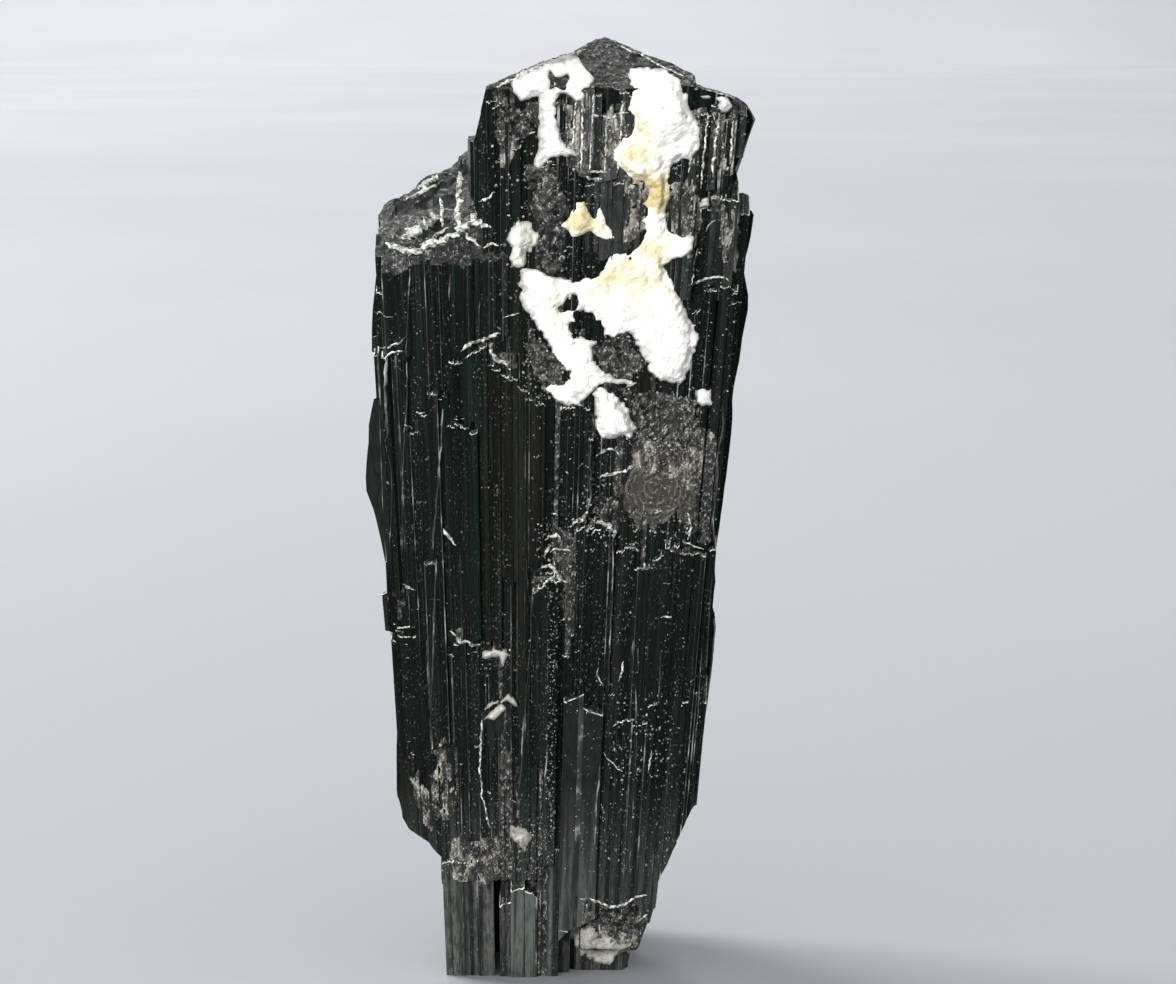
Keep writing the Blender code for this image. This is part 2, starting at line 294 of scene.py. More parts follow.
def front_ribs(rows, seed, prefix):
    """The columns of a table. Each row is split into narrower ribs that stand a little before or
    behind each other and end at slightly different heights."""
    rng = np.random.default_rng(seed)
    made = []
    for number, row in enumerate(rows):
        left, right, front, low, high, lean, tone, finish = with_look(row)
        parts = 1 if finish == "smooth" else max(1, round((right - left) / RIB_WIDTH))
        edges = np.linspace(left, right, parts + 1)
        edges[1:-1] += rng.uniform(-0.35, 0.35, parts - 1) * (right - left) / parts
        for part in range(parts):
            width = edges[part + 1] - edges[part] + OVERLAP
            step_back = rng.uniform(-0.02, 0.06) if parts > 1 else 0.0
            top = high + lean * ((edges[part] + edges[part + 1] - left - right) / 2)
            top -= rng.uniform(0, 0.25) if parts > 1 else 0.0
            middle = ((edges[part] + edges[part + 1]) / 2, -front + step_back)
            made.append(
                rib(
                    f"{prefix}_{number}_{part}", rng, middle, (0.0, -1.0), width,
                    low - rng.uniform(0, 0.4) * (parts > 1), top, tone, finish,
                    slope=(lean, rng.uniform(0.35, 0.8)),
                )
            )
    return made


CORNER_ROOM = 0.02  # no striation starts nearer to a corner than this
BODY_STRAND, BODY_RELIEF, BODY_RINGS = 0.22, 0.1, 7  # a big individual's striation and its rings


def body_prism(name, rng, outline, low, high, lean=(0.0, 0.0)):
    """A big individual: its outline's sides are striated, the stairs vary along its height, and
    its top leans by lean mm a mm in x and y."""
    outline = np.array(outline)
    corners = np.roll(outline, -1, axis=0) - outline
    lengths = np.linalg.norm(corners, axis=1)
    plan, inward, depth = [], [], []
    for start, run, length in zip(outline, corners, lengths):
        along, depths = striated(rng, length, BODY_STRAND, BODY_RELIEF)
        ahead = run / length
        normal = np.array([-ahead[1], ahead[0]])
        keep = (along > CORNER_ROOM) & (along < length - CORNER_ROOM)
        along, depths = along[keep], depths[keep]
        plan.append(np.vstack([start, start + along[:, None] * ahead]))
        inward.append(np.repeat(normal[None], len(along) + 1, axis=0))
        depth.append(np.concatenate([[0], depths]))
    plan, inward, depth = np.vstack(plan), np.vstack(inward), np.concatenate(depth)
    levels = np.linspace(low, high, BODY_RINGS)
    change = rng.uniform(0.5, 1.3, (BODY_RINGS, len(depth)))
    shape = plan + (depth * change)[..., None] * inward
    z = np.repeat(levels[:, None], len(depth), axis=1)
    z[-1] += (shape[-1] - outline.mean(axis=0)) @ np.array(lean)
    return loft(name, np.concatenate([shape, z[..., None]], axis=-1), PRISM, [BREAK, BREAK], 0.0)


# The columns scattered over an individual's other sides: widths, lengths, the share that reaches
# its lower end, and how common each finish and each tone is.
SKIN_WIDTHS, SKIN_LENGTHS = (0.25, 0.95), (4, 26)
SKIN_REACHING_DOWN = 0.25
SKIN_FINISHES = ["fine", "coarse", "fine", "smooth", "rough"]
SKIN_FINISH_SHARES = [0.4, 0.25, 0.15, 0.14, 0.06]
# The grey tone is a painted reflection.
SKIN_TONES = [BLACK, BROWN, GREEN, SHEEN_GREY]
SKIN_TONE_SHARES = [0.55, 0.2, 0.15, 0.1]


def skin_ribs(rng, outline, sides, count, z_range, prefix, proud=(-0.05, 0.35)):
    """Columns scattered over chosen sides of an individual, count to a millimetre of outline, each
    facing out from its side and standing proud of it by a random amount in that range."""
    outline = np.array(outline)
    made = []
    for side in sides:
        start, end = outline[side], outline[(side + 1) % len(outline)]
        length = np.linalg.norm(end - start)
        ahead = (end - start) / length
        outward = np.array([ahead[1], -ahead[0]])
        for number in range(max(2, round(count * length))):
            width = rng.uniform(*SKIN_WIDTHS)
            where = rng.uniform(0.1, 0.9)
            low = rng.uniform(z_range[0], z_range[1] - 6)
            high = min(z_range[1] + 1.5, low + rng.uniform(*SKIN_LENGTHS))
            if rng.uniform() < SKIN_REACHING_DOWN:
                low = z_range[0] - 0.5
            finish = rng.choice(SKIN_FINISHES, p=SKIN_FINISH_SHARES)
            middle = start + where * (end - start) + outward * rng.uniform(*proud)
            tone = rng.choice(SKIN_TONES, p=SKIN_TONE_SHARES)
            made.append(
                rib(f"{prefix}_{side}_{number}", rng, middle, outward, width, low, high, tone, finish)
            )
    return made


def grid_cells(rows, columns):
    """The numbers of a grid's points, and the four points round each of its cells."""
    index = np.arange(rows * columns).reshape(rows, columns)
    return index, np.stack([index[:-1, :-1], index[1:, :-1], index[1:, 1:], index[:-1, 1:]], -1)


def field_solid(name, near, far, slots):
    """A closed slab between two grids of points of equal size, walled round the rim. Its faces are
    turned outwards by the sign of (step along rows x step along columns) . (near - far)."""
    across = np.cross(near[1, 0] - near[0, 0], near[0, 1] - near[0, 0])
    if across @ (near - far).mean(axis=(0, 1)) < 0:
        near, far, slots = near[::-1], far[::-1], np.asarray(slots)[::-1]
    index, cells = grid_cells(*near.shape[:2])
    cells = cells.reshape(-1, 4)
    back = cells[:, ::-1] + index.size
    rim = np.concatenate([index[:, 0], index[-1, 1:], index[-2::-1, -1], index[0, -2:0:-1]])
    ahead = np.roll(rim, -1)
    wall = np.stack([ahead, rim, rim + index.size, ahead + index.size], -1)
    points = np.concatenate([near.reshape(-1, 3), far.reshape(-1, 3)])
    slots = np.concatenate([np.asarray(slots).reshape(-1), np.full(len(back) + len(wall), BREAK)])
    return mesh_of(name, points, [cells, back, wall], slots)


def combined(name, meshes, operation):
    """One solid from many: all of the others are joined to the first, or taken away from it."""
    collection = bpy.context.scene.collection
    group = bpy.data.collections.new(name)
    collection.children.link(group)
    first, *rest = [bpy.data.objects.new(mesh.name, mesh) for mesh in meshes]
    collection.objects.link(first)
    while len(first.data.materials) <= FILM:
        first.data.materials.append(None)
    for other in rest:
        group.objects.link(other)
    modifier = first.modifiers.new(name, "BOOLEAN")
    modifier.operation = operation
    modifier.operand_type = "COLLECTION"
    modifier.collection = group
    modifier.solver = "MANIFOLD"
    graph = bpy.context.evaluated_depsgraph_get()
    result = bpy.data.meshes.new_from_object(first.evaluated_get(graph))
    for made in [first, *rest]:
        bpy.data.objects.remove(made)
    for mesh in meshes:
        bpy.data.meshes.remove(mesh)
    bpy.data.collections.remove(group)
    result.name = name
    return result


UNCUT = 44.0  # an upper end that a cut brings down to its surface
BURIED = -1.0  # a lower end under the foot, which is cut off level
# The columns seen from the front. Each row is a column in plan at FAN_LEVEL: left, right, how far
# forward, its lower and upper ends, how its top slopes to the side, then its tone and its finish
# where they aren't those of most columns, BLACK and "fine".
SHOULDER_ROWS = [
    (-8.75, -8.45, 5.0, 34.2, UNCUT, 0.3),
    (-8.45, -7.9, 5.75, 34.0, UNCUT, 0.2),
    (-7.9, -7.15, 5.85, 34.1, UNCUT, 0.1),
    (-7.15, -6.55, 5.75, 30.9, UNCUT, -0.2, GREEN),
    (-6.6, -6.05, 5.65, 31.1, UNCUT, -0.3),
    (-6.05, -5.2, 5.85, 32.1, UNCUT, 0.1),
    (-5.2, -4.6, 6.0, 34.1, UNCUT, 0.6, GREEN),
    (-4.6, -4.05, 6.05, 34.0, UNCUT, -0.6),
    (-4.1, -3.65, 5.8, 34.4, UNCUT, 0.0, GREEN),
    (-3.65, -3.0, 5.9, 34.7, UNCUT, 0.2),
    (-3.0, -2.3, 5.95, 34.9, UNCUT, -0.2),
    (-2.3, -1.75, 5.85, 34.2, UNCUT, 0.0, BLACK, "coarse"),
]
LEFT_ROWS = [
    (-9.1, -8.65, 5.0, 31.4, 33.9, -0.2),
    (-8.65, -8.4, 5.9, 20.9, 33.8, 0.2),
    (-8.55, -8.0, 5.6, 21.4, 33.9, 0.4),
    (-7.95, -7.5, 5.75, 19.4, 34.1, 0.3),
    (-7.65, -7.05, 5.7, 18.7, 29.8, 0.4, BLACK, "coarse"),
    (-7.05, -6.5, 5.6, 23.0, 30.9, 0.1),
    (-6.45, -5.95, 5.8, 13.2, 31.9, 0.2),
    (-6.0, -5.5, 5.65, 18.7, 31.7, 0.0, GREEN),
    (-5.3, -4.6, 5.95, 30.6, 33.6, 0.2, BLACK, "coarse"),
    (-4.6, -3.7, 6.1, 30.5, 34.2, 0.5, GREEN),
    (-5.5, -4.8, 5.7, 23.8, 30.2, 0.2),
    (-4.8, -4.35, 5.85, 18.7, 30.3, -0.2),
    (-4.35, -3.95, 5.9, 18.7, 29.8, 0.2, GREEN),
]
BROWN_ROWS = [
    (-3.75, -3.4, 6.0, 18.2, 34.3, 0.4, BROWN),
    (-3.4, -3.05, 5.9, 18.7, 33.3, 0.0, BROWN, "coarse"),
    (-3.15, -2.75, 6.05, 18.2, 33.1, -0.2, BROWN),
    (-2.75, -2.3, 5.95, 22.3, 33.0, -0.4, BROWN),
    (-2.35, -1.85, 6.0, 22.0, 32.8, -0.3, BROWN),
    (-1.9, -1.25, 5.9, 15.5, 32.1, -0.6, BROWN),
    (-1.25, -0.45, 5.95, 22.8, 31.5, -0.5, BROWN),
    (0.35, 1.1, 5.95, 24.9, 31.3, 0.2),
    (1.1, 1.85, 6.0, 25.4, 31.3, -0.2),
    (1.85, 2.05, 6.15, 25.4, 29.5, 0.0),
]
CENTRE_ROWS = [
    (1.35, 2.3, 6.1, 14.4, 24.9, 0.5),
    (2.3, 3.4, 6.15, 15.5, 25.1, -0.5),
    (-1.0, -0.25, 6.05, 12.2, 21.7, 0.4, BLACK, "coarse"),
    (-0.25, 0.45, 6.15, 6.7, 22.1, -0.2),
    (3.55, 4.55, 5.95, 11.6, 23.8, 0.2),
    (4.55, 5.55, 6.0, 10.5, 22.8, 0.0),
    (5.55, 6.2, 5.9, 8.0, 23.3, 0.4, BLACK, "coarse"),
    (6.2, 6.95, 5.95, 7.1, 23.8, 0.2),
    (6.95, 7.75, 5.8, 8.1, 23.5, -0.2),
    (7.8, 8.45, 5.65, 8.7, 23.5, -0.3),
    (8.5, 9.0, 5.3, 9.8, 23.6, -0.3),
]
LOWER_ROWS = [
    (-9.1, -8.5, 5.2, 5.4, 18.6, -0.4),
    (-8.45, -7.9, 5.35, 5.2, 18.6, 0.0),
    (-7.9, -7.15, 5.5, 5.0, 19.1, 0.3),
    (-7.0, -6.35, 5.8, 13.1, 22.9, 0.2),
    (-6.35, -5.9, 5.7, 14.2, 23.0, 0.0),
    (-5.9, -5.45, 5.6, 13.1, 18.1, -0.2),
    (-5.5, -4.85, 5.7, 7.9, 18.6, 0.2),
    (-4.85, -4.15, 5.6, 7.9, 18.1, 0.0, BLACK, "coarse"),
    (-1.75, -1.15, 5.85, 6.6, 18.7, 0.4, GREEN),
    (-1.15, -0.55, 5.7, 6.5, 15.4, -0.2),
    (-0.55, 0.0, 5.8, 6.3, 16.0, 0.0, BLACK, "rough"),
    (0.85, 2.0, 6.2, 2.6, 15.6, 0.3, BLACK, "smooth"),
    (2.0, 3.15, 6.25, 3.1, 14.9, -0.3, BLACK, "smooth"),
    (3.15, 3.8, 6.0, 4.4, 16.0, 0.2),
    (3.8, 4.95, 6.1, 4.1, 14.4, 0.2),
    (4.95, 5.8, 6.05, 4.1, 14.3, 0.0, BLACK, "coarse"),
    (5.8, 6.45, 5.95, 4.2, 15.5, 0.4),
    (6.45, 7.3, 5.95, 4.0, 13.6, 0.0),
    (7.3, 8.15, 5.8, 4.6, 15.4, -0.2),
    (7.95, 8.65, 5.5, 5.2, 15.9, -0.3),
    (8.7, 9.25, 5.0, 6.5, 15.3, -0.4),
]
# Up here the grey and palest tones are painted reflections on silvery facets.
TOP_ROWS = [
    (-3.25, -2.85, 5.75, 39.3, 46.8, 0.3),
    (-2.85, -2.4, 5.85, 39.3, 46.8, 0.0),
    (-2.4, -2.25, 6.0, 41.3, 45.9, 0.0),
    (-2.25, -1.7, 5.9, 39.3, 44.5, 0.3, GREEN),
    (-1.7, -1.05, 5.75, 42.3, 46.8, 0.2),
    (-1.05, -0.05, 5.85, 37.7, 43.8, 0.0, SHEEN_GREY, "coarse"),
    (-0.1, 1.0, 5.8, 44.3, 47.3, 0.2, SHEEN_GREY, "coarse"),
    (1.0, 1.25, 5.95, 43.0, 47.4, 0.0, SHEEN_PALE),
    (1.25, 1.6, 6.05, 43.1, 47.4, 0.2, SHEEN_PALE),
    (1.6, 1.95, 6.1, 43.2, 47.1, 0.0, SHEEN_GREY),
    (1.95, 2.75, 5.95, 42.8, 46.0, 0.2, SHEEN_PALE, "smooth"),
    (2.75, 3.45, 5.85, 42.8, 47.3, -0.2, SHEEN_GREY),
    (1.4, 2.05, 5.8, 39.3, 42.8, 0.3, SHEEN_GREY),
    (2.05, 2.65, 5.85, 39.0, 43.2, -0.2, SHEEN_PALE),
    (2.65, 3.1, 6.0, 38.7, 42.9, 0.2, SHEEN_GREY),
    (3.1, 3.95, 5.85, 38.7, 42.7, 0.0, SHEEN_GREY),
    (5.3, 5.75, 5.75, 37.2, 43.6, 0.3),
    (5.75, 6.15, 5.85, 36.7, 44.3, 0.0),
    (6.1, 6.6, 5.9, 36.7, 45.8, 0.2, SHEEN_GREY),
    (6.5, 6.95, 5.8, 42.1, 46.3, 0.0),
    (6.95, 7.35, 5.75, 42.3, 46.5, -0.2, SHEEN_GREY),
    (7.35, 8.0, 5.5, 42.4, 45.9, -0.3),
    (7.95, 8.6, 5.2, 44.3, 46.3, -0.4, SHEEN_GREY),
    (6.85, 7.3, 5.7, 37.2, 41.5, 0.2),
    (7.3, 7.95, 5.75, 37.6, 42.0, 0.0, SHEEN_GREY),
    (7.95, 8.55, 5.6, 36.7, 41.9, -0.2, SHEEN_GREY),
    (8.6, 9.15, 5.0, 34.3, 41.2, -0.4),
    (7.25, 7.85, 5.75, 23.8, 37.4, 0.0),
    (8.0, 8.5, 5.7, 23.7, 37.5, 0.2),
    (8.5, 8.9, 5.4, 24.0, 37.2, -0.2),
    (8.75, 9.15, 5.0, 31.4, 36.6, -0.3),
]
# The foot's palest tone is a painted reflection of the pale ground.
FOOT_ROWS = [
    (-6.7, -6.2, 5.7, BURIED, 6.6, 0.0, SHEEN_PALE),
    (-6.2, -5.45, 5.85, BURIED, 6.6, 0.2, SHEEN_PALE),
    (-5.45, -4.5, 5.8, BURIED, 6.4, -0.2, SHEEN_PALE),
    (-4.45, -3.45, 5.85, BURIED, 6.7, 0.2, SHEEN_PALE),
    (-3.05, -2.3, 6.0, BURIED, 4.2, 0.3),
    (-2.3, -1.45, 6.15, BURIED, 5.0, 0.3, SHEEN_PALE, "smooth"),
    (-1.45, -0.6, 6.1, BURIED, 4.8, -0.5, SHEEN_PALE, "smooth"),
    (-0.55, 0.05, 5.9, BURIED, 7.2, 0.2, BLACK, "rough"),
    (0.05, 0.85, 5.95, BURIED, 7.2, 0.0, SHEEN_PALE),
]
# The outlines of the two edges in plan: height, then X.
LEFT_PROFILE = [
    (4.0, -8.6), (8.0, -9.15), (8.8, -9.35), (10.0, -9.45), (12.5, -9.28), (14.5, -9.05), (18.2, -9.02),
    (19.0, -9.3), (22.4, -9.22), (24.0, -9.3), (31.5, -9.12), (33.0, -9.15), (34.4, -9.27),
    (36.0, -9.12), (37.0, -8.95), (38.0, -8.8), (39.0, -8.6), (40.5, -8.4),
]
SLIVER_PROFILE = [
    (22.6, -9.2), (24.0, -9.45), (25.3, -9.68), (26.2, -9.98), (26.9, -10.02), (28.5, -9.8),
    (30.0, -9.62), (31.4, -9.25),
]
STEP_PROFILE = [(19.0, -9.5), (20.9, -9.56)]
RIGHT_PROFILE = [
    (4.0, 8.2), (8.0, 8.88), (9.2, 9.18), (11.5, 9.33), (14.0, 9.42), (16.4, 9.52), (19.2, 9.52),
    (19.7, 9.2), (21.5, 9.2), (22.4, 9.05), (24.0, 9.12), (28.0, 9.3), (30.0, 9.33), (31.6, 9.19),
    (33.0, 9.34), (34.8, 9.42), (36.0, 9.56), (37.4, 9.44), (38.0, 9.05), (39.5, 9.35), (41.0, 9.41),
    (41.6, 9.1), (42.3, 8.5), (42.7, 8.3), (43.6, 8.55), (44.7, 8.82), (45.7, 9.07), (46.2, 8.93),
    (48.0, 8.2),
]
# Columns of the two edges: back, front, how far behind the profile, lower end, upper end, how the
# top slopes, then the tone and the finish as above.
CROWN_EDGE_ROWS = [
    (-4.2, -3.2, 0.0, 42.2, 48.5, 0.2),
    (-3.2, -2.0, 0.1, 42.3, 48.5, 0.0, BLACK, "coarse"),
]
RIGHT_EDGE_ROWS = [
    (-3.7, -2.6, 0.0, 31.8, UNCUT, 0.3),
    (-2.6, -1.3, 0.06, 22.0, UNCUT, 0.2, GREEN),
    (-1.4, 0.1, 0.15, 33.0, 39.5, 0.0),
    (-3.6, -2.5, 0.02, 19.4, 32.2, 0.1, BLACK, "coarse"),
    (-3.4, -2.3, 0.0, 5.3, 19.5, 0.2, GREEN),
    (-2.4, -1.1, 0.08, 5.4, 22.5, 0.0, BLACK, "coarse"),
    (-1.2, 0.9, 0.2, 6.0, 33.5, 0.2),
]
LEFT_EDGE_ROWS = [
    (-4.3, -3.3, 0.0, 34.3, UNCUT, 0.3),
    (-3.4, -2.2, 0.04, 31.0, UNCUT, 0.2),
    (-4.4, -3.4, 0.02, 22.4, 34.6, 0.1, BLACK, "smooth"),
    (-3.5, -2.3, 0.06, 17.0, 32.0, 0.0, BLACK, "coarse"),
    (-4.4, -3.4, 0.0, 18.6, 22.6, 0.2),
    (-4.3, -3.3, 0.0, 4.6, 18.8, 0.0),
    (-3.4, -2.2, 0.05, 5.0, 17.6, 0.0),
    (-2.3, -0.9, 0.3, 9.0, 37.0, 0.0, BLACK, "coarse"),
]
SLIVER_ROWS = [(-3.7, -2.7, 0.0, 22.7, 31.3, 0.2, BLACK, "smooth")]
STEP_ROWS = [(-4.3, -3.4, 0.0, 19.1, 20.9, 0.2, BLACK, "smooth")]


def edge_ribs(rows, profile, seed, prefix):
    """Columns that face left or right, from rows laid along Y, on an outline x(z)."""
    rng = np.random.default_rng(seed)
    heights, places = np.array(profile).T
    side = math.copysign(1, places[0])
    made = []
    for number, row in enumerate(rows):
        back, front, inset, low, high, lean, tone, finish = with_look(row)

        def drift(z, inset=inset):
            return side * np.interp(z, heights, places) - inset

        slope = (lean, rng.uniform(0.3, 0.6))
        place, face, width = (0.0, (back + front) / 2), (side, 0.0), abs(front - back)
        name = f"{prefix}_{number}"
        made.append(rib(name, rng, place, face, width, low, high, tone, finish, slope, drift))
    return made


# The layer behind the tabled columns: where it runs from and to in X, how far forward it lies at
# those places, its foot, and its upper end as far as each X.
COVER_LEFT, COVER_STOP, COVER_RIGHT = -8.8, 8.7, 9.0
COVER_X = [-9.3, -8.7, -4.0, -2.6, 4.5, 7.4, 8.6, 9.3]
COVER_FRONT = [4.3, 5.35, 5.62, 5.72, 5.74, 5.5, 5.1, 4.1]
COVER_FOOT = 5.4
COVER_ROOFS = [(-3.4, 37.0), (5.4, 50.0), (8.0, 48.0), (10.0, 41.0)]
COVER_WIDTHS, COVER_LENGTHS = (0.16, 0.5), (4.0, 17.0)


def cover_ribs(seed):
    """The layer behind the tabled columns: strips side by side, stacked in lengths along Z."""
    rng = np.random.default_rng(seed)
    left, made = COVER_LEFT, []
    while left < COVER_STOP:
        width = min(rng.uniform(*COVER_WIDTHS), COVER_RIGHT - left)
        middle = left + width / 2
        roof = next(height for reach, height in COVER_ROOFS if middle < reach)
        low = COVER_FOOT
        while low < roof - 2:
            high = min(roof, low + rng.uniform(*COVER_LENGTHS))
            front = np.interp(middle, COVER_X, COVER_FRONT) + rng.uniform(-0.08, 0.1)
            tone = rng.choice([BLACK, BROWN, GREEN], p=[0.7, 0.15, 0.15])
            finish = rng.choice(["fine", "coarse", "smooth", "rough"], p=[0.55, 0.25, 0.05, 0.15])
            name, place = f"cover_{len(made)}", (middle, -front)
            made.append(rib(name, rng, place, (0.0, -1.0), width + 0.04, low, high, tone, finish))
            low = high - rng.uniform(0.3, 1.0)
        left += width
    return made


# The big individuals that the columns sit on: their outlines in plan, X and Y.
MAIN_OUTLINE = [
    (-3.9, -4.4), (-2.6, -5.2), (4.5, -5.3), (7.4, -4.8), (8.2, -3.6),
    (7.6, 0.6), (5.4, 3.8), (1.2, 4.6), (-2.6, 4.2), (-4.2, 1.0),
]
LEFT_OUTLINE = [
    (-8.7, -4.1), (-8.2, -4.9), (-4.0, -5.3), (-2.5, -3.0),
    (-2.8, 3.6), (-4.4, 1.4), (-8.3, -1.4), (-8.7, -2.2),
]
RIGHT_OUTLINE = [(5.2, -5.0), (8.0, -4.6), (8.7, -3.4), (8.8, -0.6), (8.3, 2.2), (5.5, 4.4)]
CROWN_OUTLINE = [(6.2, -4.7), (7.7, -5.0), (8.0, -3.8), (8.2, -2.2), (7.6, 0.4), (6.2, 0.2)]
# The individuals at the back: outline, lower end, upper end, how the top leans in X and Y.
BACK_PRISMS = [
    ([(-6.6, 0.0), (-2.6, 0.0), (-2.6, 3.8), (-3.6, 4.7), (-5.6, 4.7), (-6.6, 3.9)],
     6.6, 33.0, (0.35, -0.6)),
    ([(-2.9, 2.0), (2.4, 2.0), (2.4, 5.4), (1.0, 6.3), (-1.5, 6.3), (-2.9, 5.5)],
     5.6, 45.6, (-0.3, -0.5)),
    ([(-2.2, 2.5), (0.6, 2.5), (0.6, 6.3), (-0.2, 6.9), (-1.4, 6.9), (-2.2, 6.3)],
     5.0, 36.5, (-0.4, -0.55)),
    ([(1.2, 2.0), (4.6, 2.0), (4.6, 5.9), (3.6, 6.6), (2.2, 6.6), (1.2, 5.9)],
     6.4, 30.5, (0.5, -0.45)),
    ([(4.4, 0.0), (7.6, 0.0), (7.6, 4.0), (6.6, 4.9), (5.4, 4.9), (4.4, 4.0)],
     8.2, 35.0, (0.3, -0.6)),
    ([(-8.6, -2.6), (-5.2, -2.6), (-5.2, 1.9), (-6.2, 2.4), (-7.7, 2.2), (-8.6, 0.6)],
     9.0, 28.5, (-0.5, -0.4)),
]
# The individuals of the foot: outline, lower end, upper end.
FOOT_PRISMS = [
    ([(-6.6, -5.2), (-3.6, -5.3), (-3.4, 1.0), (-4.2, 1.5), (-6.2, 1.3), (-6.9, 0.2)], BURIED, 10.0),
    ([(-3.0, -5.4), (1.6, -5.2), (1.6, 2.0), (-3.4, 2.0)], BURIED, 9.0),
    ([(1.5, -4.3), (2.2, -4.7), (5.2, -4.7), (5.7, -4.0), (5.7, 1.5), (1.5, 3.0)], BURIED, 9.0),
    ([(2.6, -5.2), (3.4, -5.6), (6.8, -5.5), (7.5, -4.6), (7.5, -1.4), (6.0, -1.0), (2.6, -1.0)],
     2.9, 9.0),
    ([(2.2, -5.0), (3.0, -5.3), (6.2, -5.3), (6.8, -4.6), (6.8, -1.6), (2.2, -1.0)], 1.3, 3.4),
    ([(-5.6, -1.0), (-1.0, -1.0), (-1.0, 4.0), (-2.0, 4.6), (-4.6, 4.6), (-5.6, 3.8)], BURIED, 10.0),
    ([(-1.6, 0.5), (3.6, 0.5), (3.6, 4.9), (2.4, 5.6), (-0.4, 5.6), (-1.6, 4.8)], BURIED, 11.0),
]


FRONT_OF_ALL = -9.0  # Y of a cutter's front wall
CLEAR = -8.0  # Y of a front cutter's back where it cuts nothing


def level_grid(first_range, second_range, step):
    """The two coordinates of a grid's points, a step apart, as arrays."""
    return np.meshgrid(np.arange(*first_range, step), np.arange(*second_range, step), indexing="ij")


def slab_above(name, x_range, y_range, step, surface, top):
    """A cutter whose underside is z = surface(x, y): taken away, it leaves that surface on the
    crystal. surface also gives each cell's material."""
    x, y = level_grid(x_range, y_range, step)
    z, slots = surface(x, y)
    near = np.stack([x, y, z], axis=-1)
    far = np.stack([x, y, np.full(x.shape, top)], axis=-1)
    return field_solid(name, near, far, slots[:-1, :-1])


def slab_before(name, x_range, z_range, step, surface):
    """A cutter whose back is y = surface(x, z): taken away, it leaves that surface on the front."""
    x, z = level_grid(x_range, z_range, step)
    y, slots = surface(x, z)
    near = np.stack([x, y, z], axis=-1)
    far = np.stack([x, np.full(x.shape, FRONT_OF_ALL), z], axis=-1)
    return field_solid(name, near, far, slots[:-1, :-1])


def slab_below(name, x_range, y_range, step, surface):
    """A cutter whose top is z = surface(x, y) and whose foot is well under the crystal."""
    x, y = level_grid(x_range, y_range, step)
    near = np.stack([x, y, surface(x, y)], axis=-1)
    far = near * [1, 1, 0] - [0, 0, 4.0]
    return field_solid(name, near, far, np.full(x[:-1, :-1].shape, BREAK))


APEX = (2.65, -1.8, 50.0)
GROWTH_LAYER = 0.3  # the height of a growth layer on the roof
RAMP = 0.15  # the share of a growth layer's tread that its riser takes


def stepped(height, riser):
    """Growth layers: a slope turned into treads and risers, height = n * riser with a short ramp."""
    layer = np.floor(height / riser)
    within = height / riser - layer
    return riser * (layer + np.clip((within - 1 + RAMP) / RAMP, 0, 1))


def roof_surface(x, y):
    """The lowest of five planes: three through the apex and one cut off each side, with thin
    growth layers on them and small chips out of them."""
    aside, forward = x - APEX[0], y - APEX[1]
    z = np.minimum(0.55 * forward, 0.5 * aside - 0.15 * forward)
    z = np.minimum(z, -0.52 * aside - 0.15 * forward)
    left_bevel = np.maximum(-2.35 + 4.2 * (x + 3.35), -5.3)
    right_x = [7.25, 7.35, 8.95, 9.95, 10.4, 10.8]
    right_bevel = np.interp(x, right_x, [0.0, -2.6, -2.95, -3.55, -4.25, -5.5])
    z = np.minimum(z, np.minimum(left_bevel, right_bevel))
    wave = 0.5 * layered(x, y, 0.0, 1.9, 11)
    z = 0.8 * z + 0.2 * stepped(z + wave, GROWTH_LAYER)
    chips = np.maximum(0, noise(x, y, 3.0, 0.9, 13) - 0.35)
    z = z + 0.04 * layered(x, y, 0.0, 0.5, 12) - 0.16 * chips
    return APEX[2] + np.minimum(0, z), np.where(noise(x, y, 5.0, 0.8, 14) > 0.1, GRIT, BREAK)


FACET = 1.1  # the width of a facet on the shoulder
SHOULDER_EDGE = -5.1  # Y where the shoulder turns down


def shoulder_surface(x, y):
    """The left shoulder: a plane that dips forwards and to the left, of flat facets at slightly
    different heights and tilts, some of them smooth and dark, others granular."""
    z = 39.5 + 0.2 * (x + 9.2) + 0.55 * (y + 4.6) - 0.8 * np.maximum(0, SHOULDER_EDGE - y)
    away, number = grains(x + 0.3 * y, 0.8 * y, FACET, 22)
    z = z + 0.28 * (number - 0.5) + 0.12 * (0.5 - away) * np.sign(number - 0.5)
    z = z + 0.05 * layered(x, y, 0.0, 0.45, 21) + 0.08 * noise(x, y, 0.0, 1.7, 24)
    slots = np.where(number < 0.35, SATIN, np.where(number < 0.7, GRIT, BREAK))
    return z, np.where(y < SHOULDER_EDGE, BREAK, slots)


def right_top_surface(x, y):
    """The right individual's own top, which is a little lower than the crown over it."""
    z = 41.2 - 0.25 * (x - 9.6) - 0.12 * (y + 3.5)
    return z + 0.06 * layered(x, y, 0.0, 0.6, 31), np.full(x.shape, BREAK)


BOWL = (5.4, 26.8)  # where the ripples of the shell-like break start, X and Z
BOWL_MIDDLE, BOWL_HALF = (6.3, 27.1), (2.9, 3.4)  # the break itself: its middle and half its size


